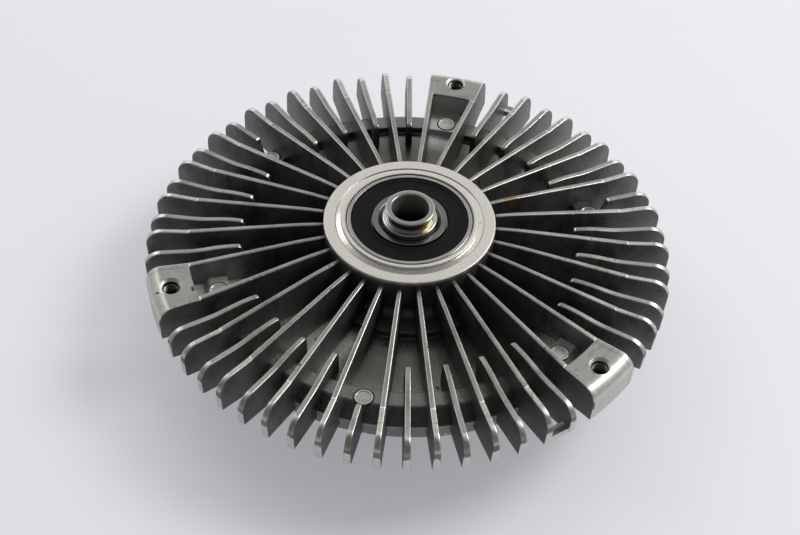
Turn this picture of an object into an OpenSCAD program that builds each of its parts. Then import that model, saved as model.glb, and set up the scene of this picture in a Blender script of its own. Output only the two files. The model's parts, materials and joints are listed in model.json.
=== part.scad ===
// Viscous fan clutch, lying on its front cover with the engine side up.
// Depths are measured down from the land plane, the machined plane of the fin tips and
// screw bosses. Heights above that plane are negative depths. The origin is on the axis,
// in the plane of the front fin tips that the clutch lies on.

/* [Long fins] */
// How far the fin tips stand out past the rim
fin_reach = 17.3; // [12:0.1:22]
// Number of long fins
long_fin_count = 30; // [24, 30, 36]
// Fin thickness at the land plane
fin_t = 1.95; // [1.4:0.05:2.4]
// Draft of each fin side in degrees
fin_draft = 2; // [1:0.1:3]
// Depth of the lower edge at the fin tips
fin_depth = 13.4; // [11:0.1:15]
// Height of the fin top at the hub
fin_hub_h = 5.9; // [4:0.1:7]
// Radius at which the fin top begins its straight fall
fin_knee_r = 40; // [36:0.5:50]
// Height of the fin top at that radius
fin_knee_h = 5.2; // [3:0.1:6]
// Width of the machined land at the fin tips
tip_land = 15.5; // [10:0.1:17]
// Step between the cast fin top and the machined land
land_step = 0.25; // [0.1:0.05:0.6]
// Rounding of the outer top corner
tip_round = 6; // [3:0.5:7]
// How far the fin end leans in at its lower edge
tip_lean = 0.4; // [0:0.1:1]
// Depth of the fins' lower edge at the rim
fin_root_d = 15.4; // [14.4:0.1:16.4]

/* [Short fins] */
// Length of the short fins
short_l = 35.1; // [24:0.1:40]
// Rounding of their inner top corner
short_in_round = 1.5; // [0.5:0.1:2.5]
// Height of their inner stretch
short_in_h = 0.15; // [0:0.05:1]
// Length of the high stretch before the top dips
dip_start = 5.6; // [2.6:0.1:8]
// Length of the dip
dip_l = 12; // [6:0.5:16]
// Depth of the top outside the dip
short_tip_d = 1.5; // [0.8:0.1:3]
// Gap between a pad's groove and the foot of the fin that stops outside it
stub_gap = 0.1; // [0.1:0.05:1]
// How far that fin's inner edge leans out towards its top
stub_slope = 3.2; // [1:0.1:6]

/* [Fan screws] */
// Number of screw bosses
boss_count = 3; // [2, 3, 6]
// Distance of the screw circle from the fin tips
screw_edge = 7.5; // [6:0.1:9]
// Radius of the tapped holes
screw_r = 3; // [2:0.1:3.5]
// Chamfer of the tapped holes
screw_chamfer = 0.5; // [0.3:0.1:1.2]
// Distance of the webs' inner edge from the fin tips, beside each boss
web_l = 4.5; // [3:0.5:13]
// Thickness of those webs
web_t = 2.6; // [1.5:0.1:4]
// Depth of the floor between the rim and each boss
boss_floor_d = 9.4; // [8:0.1:11]

/* [Ejector pads] */
// Distance of the pads' centres from the rim
pad_inset = 7.1; // [6.2:0.1:9]
// Radius of a pad
pad_r = 3.3; // [2.5:0.1:3.7]
// Height of a pad above the raised ring
pad_h = 0.2; // [0.1:0.05:0.6]
// Width of a pad's raised edge
pad_rim = 0.6; // [0.3:0.1:1]
// Depth of the dish inside that edge
pad_dish = 0.25; // [0.1:0.05:0.4]
// Width of the groove round a pad
groove_w = 0.4; // [0.2:0.1:0.8]
// Depth of that groove
groove_d = 0.4; // [0.2:0.1:0.8]

/* [Housing] */
// Outer radius of the hub
hub_r = 31; // [30:0.1:33]
// Height of the hub's flange face above the land plane
flange_h = 8.85; // [8:0.05:9]
// Chamfer of the flange's outer edge
flange_chamfer = 0.35; // [0.2:0.05:0.8]
// Width of the flange face
flange_w = 4.25; // [3:0.05:4.8]
// Depth of the groove inside the flange face
bead_d = 0.2; // [0.1:0.05:0.5]
// Depth of the plateau at the foot of the hub
foot_d = 6.7; // [5.5:0.1:7.5]
// Radius of the plateau
foot_r = 40.7; // [38:0.1:44]
// Slope width of the plateau's edge
foot_edge = 0.6; // [0.3:0.1:1.5]
// Fillet between hub and plateau
foot_fillet = 3.3; // [1:0.1:4]
// Depth of the floor between the fins
floor_d = 9.4; // [9:0.1:11]
// Height of the raised ring that runs round the floor
raised_h = 2.5; // [1:0.1:3.5]
// Width of that ring's flat top
raised_w = 6.5; // [5:0.1:8]
// Slope width of its inner edge
raised_edge = 0.4; // [0.1:0.1:1]
// Width of the slope that falls from the ring to the rim
floor_edge = 4.8; // [3:0.1:6]
// Radius of the rim
rim_r = 78.2; // [77:0.1:79.5]
// Fall from the floor to the rim's upper edge
rim_fall = 2.6; // [1.5:0.1:3]
// Chamfer of the rim's upper edge
rim_chamfer = 1; // [0.4:0.1:1.4]
// Height of the bevel at the rim's lower edge
rim_bevel = 0.9; // [0.4:0.1:1.4]
// Wall thickness of the floor
wall = 3.2; // [2.5:0.1:4]

/* [Crimp] */
// Wall of the rim round the cover's flange
crimp_wall = 2.8; // [2:0.1:3.2]
// Radial overlap of the rolled edge on the flange
crimp_hook = 1.5; // [0.8:0.1:2]
// Thickness of the rolled edge
crimp_t = 1.1; // [0.8:0.1:1.5]

/* [Bearing] */
// Bore radius of the bearing
bearing_bore_r = 10; // [9.5:0.1:10.5]
// Outer radius of the bearing
bearing_r = 23.5; // [23:0.1:24]
// Width of the bearing
bearing_w = 14; // [13.5:0.1:15]
// Height of the bearing's rear face above the land plane
bearing_h = 9.7; // [9.4:0.1:10]
// Ball radius
ball_r = 3.97; // [3.6:0.01:4.1]
// Number of balls
ball_count = 8; // [6:1:9]
// Depth of the race grooves
race_depth = 1.55; // [1.2:0.05:1.8]
// Edge chamfer of the rings
ring_chamfer = 1; // [0.6:0.1:1.2]
// Chamfer of the inner ring's bore at its rear face
bore_chamfer = 1.5; // [0.8:0.1:2]
// Width of the outer ring's face
outer_face = 2.3; // [1.8:0.1:2.5]
// Width from the bore to the inner ring's outer edge
inner_face = 3.5; // [3:0.1:3.8]
// Seal thickness
seal_t = 1.3; // [0.8:0.1:1.5]
// Distance of the seal below the ring faces
seal_sink = 0.35; // [0.2:0.05:0.6]
// Depth of the step that holds the seal
seal_step = 1.9; // [1.7:0.1:2.2]
// Depth of the shallow groove in the seal's face
seal_groove = 0.25; // [0.1:0.05:0.5]
// Width of the seal's inner lip and outer bead
seal_bead = 1.4; // [0.8:0.1:2]
// Radial thickness of the cage
cage_t = 1.8; // [1.2:0.1:2.4]
// Width of the cage's side rails
cage_rail = 0.9; // [0.6:0.1:1]
// Overlap of the staked lip on the bearing
stake_over = 0.55; // [0.3:0.05:0.7]
// Width of the staked lip
stake_w = 1.6; // [1.2:0.1:1.8]
// Height of the staked lip above the bearing's face
stake_rise = 0.15; // [0.05:0.05:0.3]

/* [Shaft] */
// Radius of the bore for the centre bolt
bolt_bore_r = 6.75; // [6:0.05:7.2]
// Radius of the well for the bolt's head
well_r = 9.75; // [9:0.05:10.5]
// Depth at which that well ends
well_d = 18; // [14:0.5:24]
// Height of the shaft's rear end above the land plane
shaft_h = 15.2; // [14.5:0.1:16]
// Height at which the journal's shoulder ends
shoulder_h = 10.6; // [10.2:0.1:11]
// Radius of the neck
neck_r = 8.35; // [8:0.05:8.6]
// Radius of the head
head_r = 8.9; // [8.8:0.05:9.4]
// Thickness of the head
head_t = 1.3; // [1:0.1:2]
// Edge chamfer of the head and of its bore
head_chamfer = 0.3; // [0.1:0.05:0.4]
// Radius of the collar between bearing and rotor
collar_r = 15.5; // [14.5:0.1:17]
// Length of the collar's narrow end at the bearing
collar_neck = 1.2; // [0.8:0.1:2]
// Radius of that narrow end
collar_neck_r = 13; // [12:0.1:13.3]
// Radius of the shaft in the rotor and in the front seal
shaft_r = 13.5; // [12.5:0.1:14.2]
// Depth of the shaft's front end
shaft_d = 33; // [31.5:0.1:34]
// Edge chamfer of the front end
shaft_chamfer = 0.6; // [0.2:0.1:1]

/* [Rotor] */
// Depth of the hub's rear end
rotor_hub_d = 8.6; // [8:0.1:10]
// Outer radius of the hub
rotor_hub_r = 20; // [18:0.1:22]
// Depth of the web's rear face
web_d = 14.4; // [14:0.1:15.5]
// Thickness of the web
rotor_web_t = 4; // [3:0.1:5]
// Thickness of the disc between its lands
disc_t = 3.5; // [3:0.1:5]
// Number of lands on the rear face
land_count = 6; // [4:1:6]
// Width of a land
land_w = 1.5; // [1.2:0.05:1.6]
// Height of the lands on the rear face
land_h = 4; // [3:0.1:5]
// Height of the lands on the front face
front_land_h = 3; // [2:0.1:4]
// Running gap between the lands and at the faces
run_gap = 0.4; // [0.35:0.05:0.5]
// Gap outside the rotor
tip_gap = 0.8; // [0.5:0.1:1]
// Width of the plain rim outside the last land
rotor_edge = 2.1; // [1.5:0.1:3]
// Edge chamfer of the rotor
rotor_chamfer = 0.8; // [0.4:0.1:1.5]
// Number of fluid holes in the web
fluid_hole_count = 4; // [3:1:6]
// Radius of a fluid hole
fluid_hole_r = 3; // [2:0.1:4]
// Thickness of the retaining ring
ring_t = 1.4; // [1:0.1:1.6]
// Depth of its groove in the shaft
ring_groove = 0.9; // [0.6:0.1:1.2]
// Width of the ring at its back
ring_w = 3.2; // [2.6:0.1:3.8]
// Opening of the ring in degrees
ring_opening = 40; // [30:1:60]
// Radius of the eyes at its ends
ring_eye_r = 2; // [1.6:0.1:2.3]
// Radius of the holes in those eyes
ring_eye_hole_r = 0.9; // [0.6:0.1:1.1]

/* [Front cover] */
// Width of the flange inside the crimp
cover_flange_w = 5; // [4:0.1:6]
// Thickness of that flange
cover_flange_t = 2.8; // [2.6:0.1:3.5]
// Drop from the chamber's rear wall to the flange
cover_drop = 1.6; // [1.2:0.1:2]
// Wall thickness of the cover
cover_wall = 3; // [2.4:0.1:3.2]
// Radial size of the slanted corner inside
cover_corner = 3.2; // [2.5:0.1:4]
// Radius of the fluid reservoir
reservoir_r = 49; // [48:0.1:50]
// Depth of the reservoir
reservoir_h = 8; // [7.5:0.1:9]
// Radius of the bore for the shaft seal
nose_bore_r = 19.5; // [18.5:0.1:20]
// Wall of the tube round that bore
nose_wall = 4; // [3:0.1:4.5]
// How far the tube stands out of the cover's face
nose_rise = 1.6; // [0.5:0.1:2.5]
// Width of the ledge behind the seal
nose_ledge = 2; // [1.4:0.1:2.4]
// Thickness of that ledge
nose_ledge_t = 1.2; // [0.8:0.1:2]
// Radius of the O-ring's section
o_ring_r = 0.85; // [0.7:0.05:0.95]
// Number of front fins
front_fin_count = 30; // [24, 30, 36]
// Height of the front fins
front_fin_h = 5.1; // [5:0.1:7]
// Thickness of the front fins at the cover's face
front_fin_t = 2.4; // [1.8:0.1:3]
// Gap between the tube and the front fins
front_fin_start = 4; // [2:0.5:6]
// Radius at which the flat fin tips end
front_fin_flat_r = 53; // [50:0.5:54]
// Distance of the fins' outer end from the cover's edge
front_fin_end = 1; // [0.5:0.1:2]

/* [Shaft seal] */
// Width of the seal
shaft_seal_w = 7; // [6:0.1:7.5]
// Thickness of its outer band and of its back
seal_band = 1.5; // [1.2:0.1:1.8]
// Thickness of the lip
lip_t = 1.2; // [1:0.1:1.4]
// Radius of the garter spring's section
garter_r = 0.6; // [0.4:0.05:0.7]

/* [Valve] */
// Thickness of the partition plate
plate_t = 1; // [0.8:0.1:1.2]
// Width of the plate's seat on the cover, outside the reservoir
plate_seat = 3.4; // [3.2:0.1:4.5]
// Least width of the cover's land round the plate
plate_land = 1.8; // [1.4:0.1:2.2]
// Number of plate rivets
plate_rivet_count = 4; // [3:1:6]
// Radius of a plate rivet
plate_rivet_r = 1; // [0.8:0.1:1.2]
// Height of its head
plate_rivet_h = 0.6; // [0.4:0.1:1]
// Radius of its head
plate_rivet_head_r = 1.6; // [1.4:0.1:1.7]
// Radius of the valve port
port_r = 2.5; // [1.5:0.1:2.8]
// Distance of the valve and strip from the axis
strip_offset = 34; // [33:0.1:35]
// Distance from the control pin to the lever's pivot
lever_arm = 21; // [20:0.1:22]
// Distance from the control pin to the port
port_offset = 16; // [14:0.1:17]
// Width of the lever
lever_w = 7; // [6:0.1:8]
// Thickness of the lever
lever_t = 0.6; // [0.4:0.1:0.8]
// Gap between lever and plate
lever_gap = 0.2; // [0.1:0.05:0.3]
// Radius of the lever rivet
lever_rivet_r = 1.4; // [1:0.1:1.6]
// Radius of its head
lever_rivet_head_r = 2.2; // [1.9:0.1:2.5]
// Thickness of its head
lever_rivet_h = 0.8; // [0.5:0.1:1.2]
// Room between lever and rivet head
lever_rivet_room = 0.5; // [0.4:0.05:0.8]
// Distance from the lever's pivot to its rivet
lever_rivet_offset = 4; // [3:0.1:4.5]

/* [Control pin and strip] */
// Radius of the control pin
pin_r = 1.5; // [1.2:0.05:1.8]
// Radial running clearance of the pin
pin_fit = 0.05; // [0.03:0.01:0.08]
// Travel of the pin
pin_travel = 1; // [0.6:0.1:1.1]
// Gap between the pin and the lever
pin_gap = 0.3; // [0.25:0.05:0.4]
// Radius of the pin's guide boss
guide_r = 4; // [3:0.1:5]
// Height of that boss inside the reservoir
guide_h = 2.9; // [2:0.1:3.5]
// Radius of the pin seal's section
pin_seal_r = 0.7; // [0.5:0.05:0.8]
// Length of the bimetal strip
strip_l = 46; // [42:0.5:47]
// Width of the strip
strip_w = 12; // [10:0.1:13]
// Thickness of the strip
strip_t = 1.2; // [0.8:0.1:1.3]
// Gap between the cover's face and the strip
strip_gap = 1.3; // [1:0.1:1.5]
// Thickness of the bracket sheet
bracket_t = 1; // [0.8:0.1:1.1]
// Width of a bracket
bracket_w = 8; // [6:0.1:10]
// Length of a bracket's foot
bracket_foot = 5.6; // [5.4:0.1:6]
// Reach of a bracket under the strip
bracket_reach = 3.5; // [2:0.1:5]
// Clearance between strip and bracket
bracket_gap = 0.3; // [0.25:0.05:0.4]
// Radius of a bracket rivet
bracket_rivet_r = 1.3; // [1:0.1:1.5]
// Radius of its head
bracket_rivet_head_r = 2.2; // [1.8:0.1:2.4]
// Height of its head
bracket_rivet_h = 1.1; // [0.6:0.1:1.4]
// Room between the strip and the front fins
window_room = 3; // [2:0.1:5]

/* [Fits] */
// Gap between pieces that are pressed or set into one another
seat_gap = 0.02; // [0.01:0.01:0.04]
// Running gap of the bearing balls and of the seal lips
lip_gap = 0.05; // [0.03:0.01:0.08]
// Gap between the bearing seals and the inner ring
seal_gap = 0.4; // [0.3:0.05:0.5]

/* [Hidden] */
$fn = 128;

// Small overlap that makes cuts clean
eps = 0.01;

// Depths, from the rear wall of the working chamber to the front
chamber_d = floor_d + wall;
rotor_rear_d = chamber_d + run_gap;
rotor_base_d = rotor_rear_d + land_h;
rotor_front_d = rotor_base_d + disc_t;
rotor_tip_d = rotor_front_d + front_land_h;
cover_face_d = rotor_tip_d + run_gap;
reservoir_d = cover_face_d + reservoir_h;
cover_d = reservoir_d + cover_wall;
land_z = cover_d + front_fin_h;
flange_d = chamber_d + cover_drop;
crimp_d = flange_d + cover_flange_t;
rim_d = crimp_d + crimp_t - rim_bevel;
raised_d = floor_d - raised_h;

// Radii of the fins, bosses and pads, from the rim outwards and inwards
fin_tip_r = rim_r + fin_reach;
land_in_r = fin_tip_r - tip_land;
short_in_r = fin_tip_r - short_l;
dip_in_r = short_in_r + dip_start;
dip_out_r = dip_in_r + dip_l;
screw_circle_r = fin_tip_r - screw_edge;
web_in_r = fin_tip_r - web_l;
raised_out_r = rim_r - floor_edge;
raised_in_r = raised_out_r - raised_w;
pad_circle_r = rim_r - pad_inset;
stub_foot_r = pad_circle_r + pad_r + groove_w + stub_gap;
stub_top_r = stub_foot_r + stub_slope;

// Radii of the working chamber, from the rim inwards
crimp_r = rim_r - crimp_wall;
chamber_r = crimp_r - cover_flange_w;
rotor_r = chamber_r - tip_gap;
land_pitch = 2 * (land_w + run_gap);
land_in = rotor_r - rotor_edge - land_w - (land_count - 1) * land_pitch;
plate_r = reservoir_r + plate_seat;
last_land = land_count - 2;
first_rear_land = max(0, ceil((foot_r + wall - land_w - run_gap - land_in) / land_pitch));
first_front_land = max(0, ceil((plate_r + plate_land + run_gap - eps - land_in) / land_pitch));
nose_r = nose_bore_r + nose_wall;
cover_r = chamber_r + cover_wall;

// Bearing
bearing_rear_d = -bearing_h;
bearing_front_d = bearing_w - bearing_h;
bearing_mid_d = bearing_w / 2 - bearing_h;
pitch_r = (bearing_bore_r + bearing_r) / 2;
inner_land_r = pitch_r - ball_r + race_depth;
outer_land_r = pitch_r + ball_r - race_depth;
seal_out_r = bearing_r - outer_face;
seal_in_r = bearing_bore_r + inner_face;
seat_r = bearing_r + seat_gap;

// Front valve
lever_d = cover_face_d + lever_gap;
pin_d = lever_d + lever_t + pin_gap;
strip_d = cover_d + strip_gap;
strip_end_d = strip_d + strip_t;
bracket_d = strip_end_d + pin_travel + bracket_gap;
bracket_x = strip_l / 2 + bracket_gap;
bracket_rivet_x = bracket_x + bracket_t + bracket_foot / 2;
plate_rivet_circle_r = (reservoir_r + plate_r) / 2;

// Angles
fin_pitch = 360 / long_fin_count;
boss_pitch = 360 / boss_count;
boss_angles = [for (i = [0 : boss_count - 1]) 90 + i * boss_pitch];
stub_angles = [for (a = boss_angles) a + boss_pitch / 2];
spot_angles = concat(boss_angles, stub_angles);
boss_fin_angles = [for (a = boss_angles, s = [-0.5, 0.5]) a + s * fin_pitch];
long_angles = [
    for (i = [0 : long_fin_count - 1])
        let (a = i * fin_pitch)
            if (!near(a, boss_fin_angles)) a
];
short_angles = [
    for (i = [0 : long_fin_count - 1])
        let (a = (i + 0.5) * fin_pitch)
            if (!near(a, spot_angles)) a
];

// Point of a half section at radius r and depth d
function at(r, d) = [r, land_z - d];

// Inner radius of the rotor's land number k
function land_at(k) = land_in + k * land_pitch;

// True if angle a is one of the listed angles
function near(a, list) = max([for (b = list) cos(a - b)]) > cos(fin_pitch / 4);

// Fin top outside the inner stretch of a short fin, as a smooth fall
function dip(t) = -short_in_h + (short_tip_d + short_in_h) * (1 - cos(180 * t)) / 2;

// Depth of the fins' lower edge at radius r
function lower_edge(r) =
    let (out_r = fin_tip_r - tip_lean, in_r = rim_r - rim_chamfer)
        fin_depth + (fin_root_d - fin_depth) * (out_r - r) / (out_r - in_r);

// Cuts the sharp outer corner at radius r and depth d back to an arc
module outer_corner(r, d, round) {
    translate(at(r - round, d + round))
        difference() {
            square(2 * round);
            circle(round);
        }
}

// Cuts the sharp inner corner at radius r and depth d back to an arc
module inner_corner(r, d, round) {
    translate(at(r + round, d + round))
        mirror([1, 0])
            difference() {
                square(2 * round);
                circle(round);
            }
}

// Radial fin with the side outline given as its child. Its thickness is t at depth d0
// and grows by the draft on both sides, downwards or upwards
module drafted_fin(t, d0, draft, way) {
    reach = fin_tip_r + 2 * tip_round;
    slope = way * tan(draft);
    function half(d) = t / 2 + slope * (d - d0);
    top_d = -2 * fin_hub_h;
    end_d = land_z + fin_hub_h;
    intersection() {
        rotate([90, 0, 0])
            linear_extrude(height = 4 * t, center = true)
                children();
        rotate([90, 0, 90])
            linear_extrude(height = reach)
                polygon([
                    at(-half(top_d), top_d), at(half(top_d), top_d),
                    at(half(end_d), end_d), at(-half(end_d), end_d)
                ]);
    }
}

// Side outline of a long fin that reaches to radius end_r, with no rounding at its end
module long_fin_block(end_r) {
    root_r = hub_r - flange_w / 2;
    polygon([
        at(root_r, -fin_hub_h), at(fin_knee_r, -fin_knee_h),
        at(land_in_r - land_step, -land_step), at(land_in_r, 0),
        at(end_r, 0), at(end_r, lower_edge(end_r)), at(rim_r - rim_chamfer, fin_root_d),
        at(rim_r - rim_chamfer, floor_d + rim_fall), at(raised_out_r, floor_d + wall / 2),
        at(foot_r, floor_d + wall / 2), at(root_r, foot_d)
    ]);
}

// Outline that trims the outer ends of the fins, from depth top_d down
module fin_end(top_d) {
    end_d = rim_d + wall;
    difference() {
        polygon([
            at(bearing_r, -shaft_h), at(fin_tip_r - tip_round, -shaft_h),
            at(fin_tip_r - tip_round, top_d), at(fin_tip_r, top_d),
            at(fin_tip_r, top_d + tip_round), at(fin_tip_r - tip_lean, fin_depth),
            at(fin_tip_r - tip_lean, end_d), at(bearing_r, end_d)
        ]);
        outer_corner(fin_tip_r, top_d, tip_round);
    }
}

// Side outline of a long fin
module long_fin_side() {
    intersection() {
        long_fin_block(fin_tip_r);
        fin_end(0);
    }
}

// Side outline of a short fin
module short_fin_side() {
    dip_steps = 6;
    difference() {
        intersection() {
            polygon(concat(
                [at(short_in_r, floor_d + wall / 2), at(short_in_r, -short_in_h)],
                [
                    for (i = [0 : dip_steps])
                        at(dip_in_r + (dip_out_r - dip_in_r) * i / dip_steps, dip(i / dip_steps))
                ],
                [
                    at(fin_tip_r, short_tip_d), at(fin_tip_r, lower_edge(fin_tip_r)),
                    at(rim_r - rim_chamfer, fin_root_d), at(rim_r - rim_chamfer, floor_d + rim_fall),
                    at(raised_out_r, floor_d + wall / 2)
                ]
            ));
            fin_end(short_tip_d);
        }
        inner_corner(short_in_r, -short_in_h, short_in_round);
    }
}

// Side outline of a short fin that stops outside a pad
module stub_fin_side() {
    intersection() {
        polygon([
            at(stub_foot_r, floor_d + wall / 2), at(stub_top_r, short_tip_d),
            at(fin_tip_r, short_tip_d), at(fin_tip_r, lower_edge(fin_tip_r)),
            at(rim_r - rim_chamfer, fin_root_d), at(rim_r - rim_chamfer, floor_d + rim_fall)
        ]);
        fin_end(short_tip_d);
    }
}

// All fins of the housing that stand by themselves
module rear_fins() {
    for (a = long_angles)
        rotate(a)
            drafted_fin(fin_t, 0, fin_draft, 1) long_fin_side();
    for (a = short_angles)
        rotate(a)
            drafted_fin(fin_t, 0, fin_draft, 1) short_fin_side();
    for (a = stub_angles)
        rotate(a)
            drafted_fin(fin_t, 0, fin_draft, 1) stub_fin_side();
}

// Screw boss with the two long fins that it fills the space between, round the X axis.
// The ends of all three are trimmed by one turned outline
module boss() {
    block_r = fin_tip_r + tip_round;
    intersection() {
        union() {
            for (s = [-1, 1])
                rotate(s * fin_pitch / 2)
                    drafted_fin(fin_t, 0, fin_draft, 1) long_fin_block(block_r);
            rotate(-fin_pitch / 2)
                rotate_extrude(angle = fin_pitch)
                    polygon([
                        at(land_in_r, 0), at(block_r, 0), at(block_r, fin_depth - land_step),
                        at(raised_out_r, fin_depth - land_step), at(raised_out_r, boss_floor_d),
                        at(land_in_r, boss_floor_d)
                    ]);
        }
        rotate(-fin_pitch)
            rotate_extrude(angle = 2 * fin_pitch)
                fin_end(0);
    }
}

// Web that ties a long fin and the short fin before it, near their lower edges
module web() {
    web_out_r = fin_tip_r - 2 * tip_lean;
    rotate_extrude(angle = fin_pitch / 2)
        polygon([
            at(web_in_r, fin_depth - web_t), at(web_out_r, fin_depth - web_t),
            at(web_out_r, fin_depth), at(web_in_r, fin_depth)
        ]);
}

// Screw bosses, and the web beside each
module bosses() {
    for (a = boss_angles) {
        rotate(a)
            boss();
        rotate(a - fin_pitch * 1.5)
            web();
    }
}

// Tapped holes of the screw bosses, with their chamfers
module screw_holes() {
    for (a = boss_angles)
        rotate(a)
            translate([screw_circle_r, 0, 0]) {
                translate([0, 0, land_z - fin_depth - screw_r])
                    cylinder(r = screw_r, h = fin_depth + 2 * screw_r);
                translate([0, 0, land_z - screw_chamfer])
                    cylinder(r1 = screw_r, r2 = screw_r + 2 * screw_chamfer, h = 2 * screw_chamfer);
            }
}

// Pads of the ejector pins, each with a dished top
module pads() {
    dish_r = pad_r - pad_rim;
    for (a = spot_angles)
        rotate(a)
            translate([pad_circle_r, 0, land_z - raised_d])
                rotate_extrude()
                    polygon([
                        [0, -groove_d - wall / 2], [pad_r, -groove_d - wall / 2], [pad_r, pad_h],
                        [dish_r, pad_h], [dish_r - pad_dish, pad_h - pad_dish], [0, pad_h - pad_dish]
                    ]);
}

// Grooves that the edges of the ejector pins leave round the pads
module pad_grooves() {
    for (a = spot_angles)
        rotate(a)
            translate([pad_circle_r, 0, land_z - raised_d - groove_d])
                cylinder(r = pad_r + groove_w, h = groove_d + wall);
}

// Half section of the housing without its fins
module housing_section() {
    stake_in_r = bearing_r - stake_over;
    stake_out_r = stake_in_r + stake_w;
    flange_in_r = hub_r - flange_w;
    shelf_r = outer_land_r + race_depth;
    shelf_d = bearing_front_d + wall;
    stake_d = bearing_rear_d + ring_chamfer - stake_over - 2 * seat_gap;
    polygon(concat(
        [
            at(seat_r, bearing_rear_d + ring_chamfer - seat_gap), at(stake_in_r, stake_d),
            at(stake_in_r, bearing_rear_d - stake_rise), at(stake_out_r, bearing_rear_d - stake_rise),
            at(stake_out_r + stake_rise, -flange_h - bead_d), at(flange_in_r, bead_d - flange_h),
            at(flange_in_r, -flange_h), at(hub_r - flange_chamfer, -flange_h),
            at(hub_r, flange_chamfer - flange_h), at(hub_r, foot_d),
            at(foot_r - foot_edge, foot_d + bead_d), at(foot_r, floor_d),
            at(raised_in_r - raised_edge, floor_d), at(raised_in_r, raised_d), at(raised_out_r, raised_d),
            at(rim_r - rim_chamfer, floor_d + rim_fall - rim_chamfer), at(rim_r, floor_d + rim_fall),
            at(rim_r, rim_d), at(crimp_r + crimp_t, crimp_d + crimp_t),
            at(crimp_r - crimp_hook, crimp_d + crimp_t), at(crimp_r - crimp_hook, crimp_d),
            at(crimp_r, crimp_d), at(crimp_r, flange_d),
            at(chamber_r, flange_d), at(chamber_r, chamber_d)
        ],
        [
            for (k = [last_land : -1 : first_rear_land])
                let (out_r = land_at(k + 1) - run_gap, in_r = land_at(k) + land_w + run_gap)
                    each [
                        at(out_r, chamber_d), at(out_r, rotor_base_d - run_gap),
                        at(in_r, rotor_base_d - run_gap), at(in_r, chamber_d)
                    ]
        ],
        [
            at(foot_r + wall, chamber_d), at(hub_r + wall, foot_d + wall),
            at(shelf_r + wall, shelf_d + bead_d), at(shelf_r, shelf_d),
            at(shelf_r, bearing_front_d), at(seat_r, bearing_front_d)
        ]
    ));
    translate(at(hub_r, foot_d))
        difference() {
            translate([-flange_w / 2, -wall / 2])
                square([foot_fillet + flange_w / 2, foot_fillet + wall / 2]);
            translate([foot_fillet, foot_fillet])
                circle(foot_fillet);
        }
}

module housing() {
    color("#7d7e7b")
        difference() {
            union() {
                difference() {
                    rotate_extrude()
                        housing_section();
                    pad_grooves();
                }
                rear_fins();
                bosses();
                pads();
            }
            screw_holes();
        }
}

// Race groove of both bearing rings
module race() {
    rotate_extrude()
        translate(at(pitch_r, bearing_mid_d))
            circle(ball_r + lip_gap);
}

module bearing_outer_ring() {
    color("#b9b9b6")
        difference() {
            rotate_extrude()
                polygon([
                    at(seal_out_r, bearing_rear_d), at(bearing_r - ring_chamfer, bearing_rear_d),
                    at(bearing_r, bearing_rear_d + ring_chamfer),
                    at(bearing_r, bearing_front_d - ring_chamfer),
                    at(bearing_r - ring_chamfer, bearing_front_d), at(seal_out_r, bearing_front_d),
                    at(seal_out_r, bearing_front_d - seal_step),
                    at(outer_land_r, bearing_front_d - seal_step),
                    at(outer_land_r, bearing_rear_d + seal_step),
                    at(seal_out_r, bearing_rear_d + seal_step)
                ]);
            race();
        }
}

module bearing_inner_ring() {
    color("#a9a8a4")
        difference() {
            rotate_extrude()
                polygon([
                    at(bearing_bore_r, bearing_rear_d + bore_chamfer),
                    at(bearing_bore_r + bore_chamfer, bearing_rear_d), at(seal_in_r, bearing_rear_d),
                    at(seal_in_r, bearing_rear_d + seal_step),
                    at(inner_land_r, bearing_rear_d + seal_step),
                    at(inner_land_r, bearing_front_d - seal_step),
                    at(seal_in_r, bearing_front_d - seal_step), at(seal_in_r, bearing_front_d),
                    at(bearing_bore_r + ring_chamfer, bearing_front_d),
                    at(bearing_bore_r, bearing_front_d - ring_chamfer)
                ]);
            race();
        }
}

module bearing_balls() {
    color("#c9c9c9")
        for (i = [0 : ball_count - 1])
            rotate(i * 360 / ball_count)
                translate([pitch_r, 0, land_z - bearing_mid_d])
                    sphere(ball_r);
}

module bearing_cage() {
    pocket_r = ball_r + lip_gap;
    half_w = pocket_r + cage_rail;
    color("#8a8266")
        difference() {
            rotate_extrude()
                translate(at(pitch_r - cage_t / 2, bearing_mid_d + half_w))
                    square([cage_t, 2 * half_w]);
            for (i = [0 : ball_count - 1])
                rotate(i * 360 / ball_count)
                    translate([pitch_r, 0, land_z - bearing_mid_d])
                        rotate([0, 90, 0])
                            cylinder(r = pocket_r, h = 2 * cage_t, center = true);
        }
}

// Bearing seal, with its outer face towards the rear
module bearing_seal() {
    in_r = seal_in_r + seal_gap;
    out_r = seal_out_r - seat_gap;
    face_d = bearing_rear_d + seal_sink;
    back_d = face_d + seal_t;
    color("#1d1c1b")
        rotate_extrude()
            polygon([
                at(in_r, back_d), at(in_r, face_d), at(in_r + seal_bead, face_d),
                at(in_r + seal_bead + seal_groove, face_d + seal_groove),
                at(out_r - seal_bead - seal_groove, face_d + seal_groove),
                at(out_r - seal_bead, face_d), at(out_r, face_d), at(out_r, back_d)
            ]);
}

module bearing_rear_seal() {
    bearing_seal();
}

module bearing_front_seal() {
    translate([0, 0, 2 * (land_z - bearing_mid_d)])
        mirror([0, 0, 1])
            bearing_seal();
}

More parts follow.
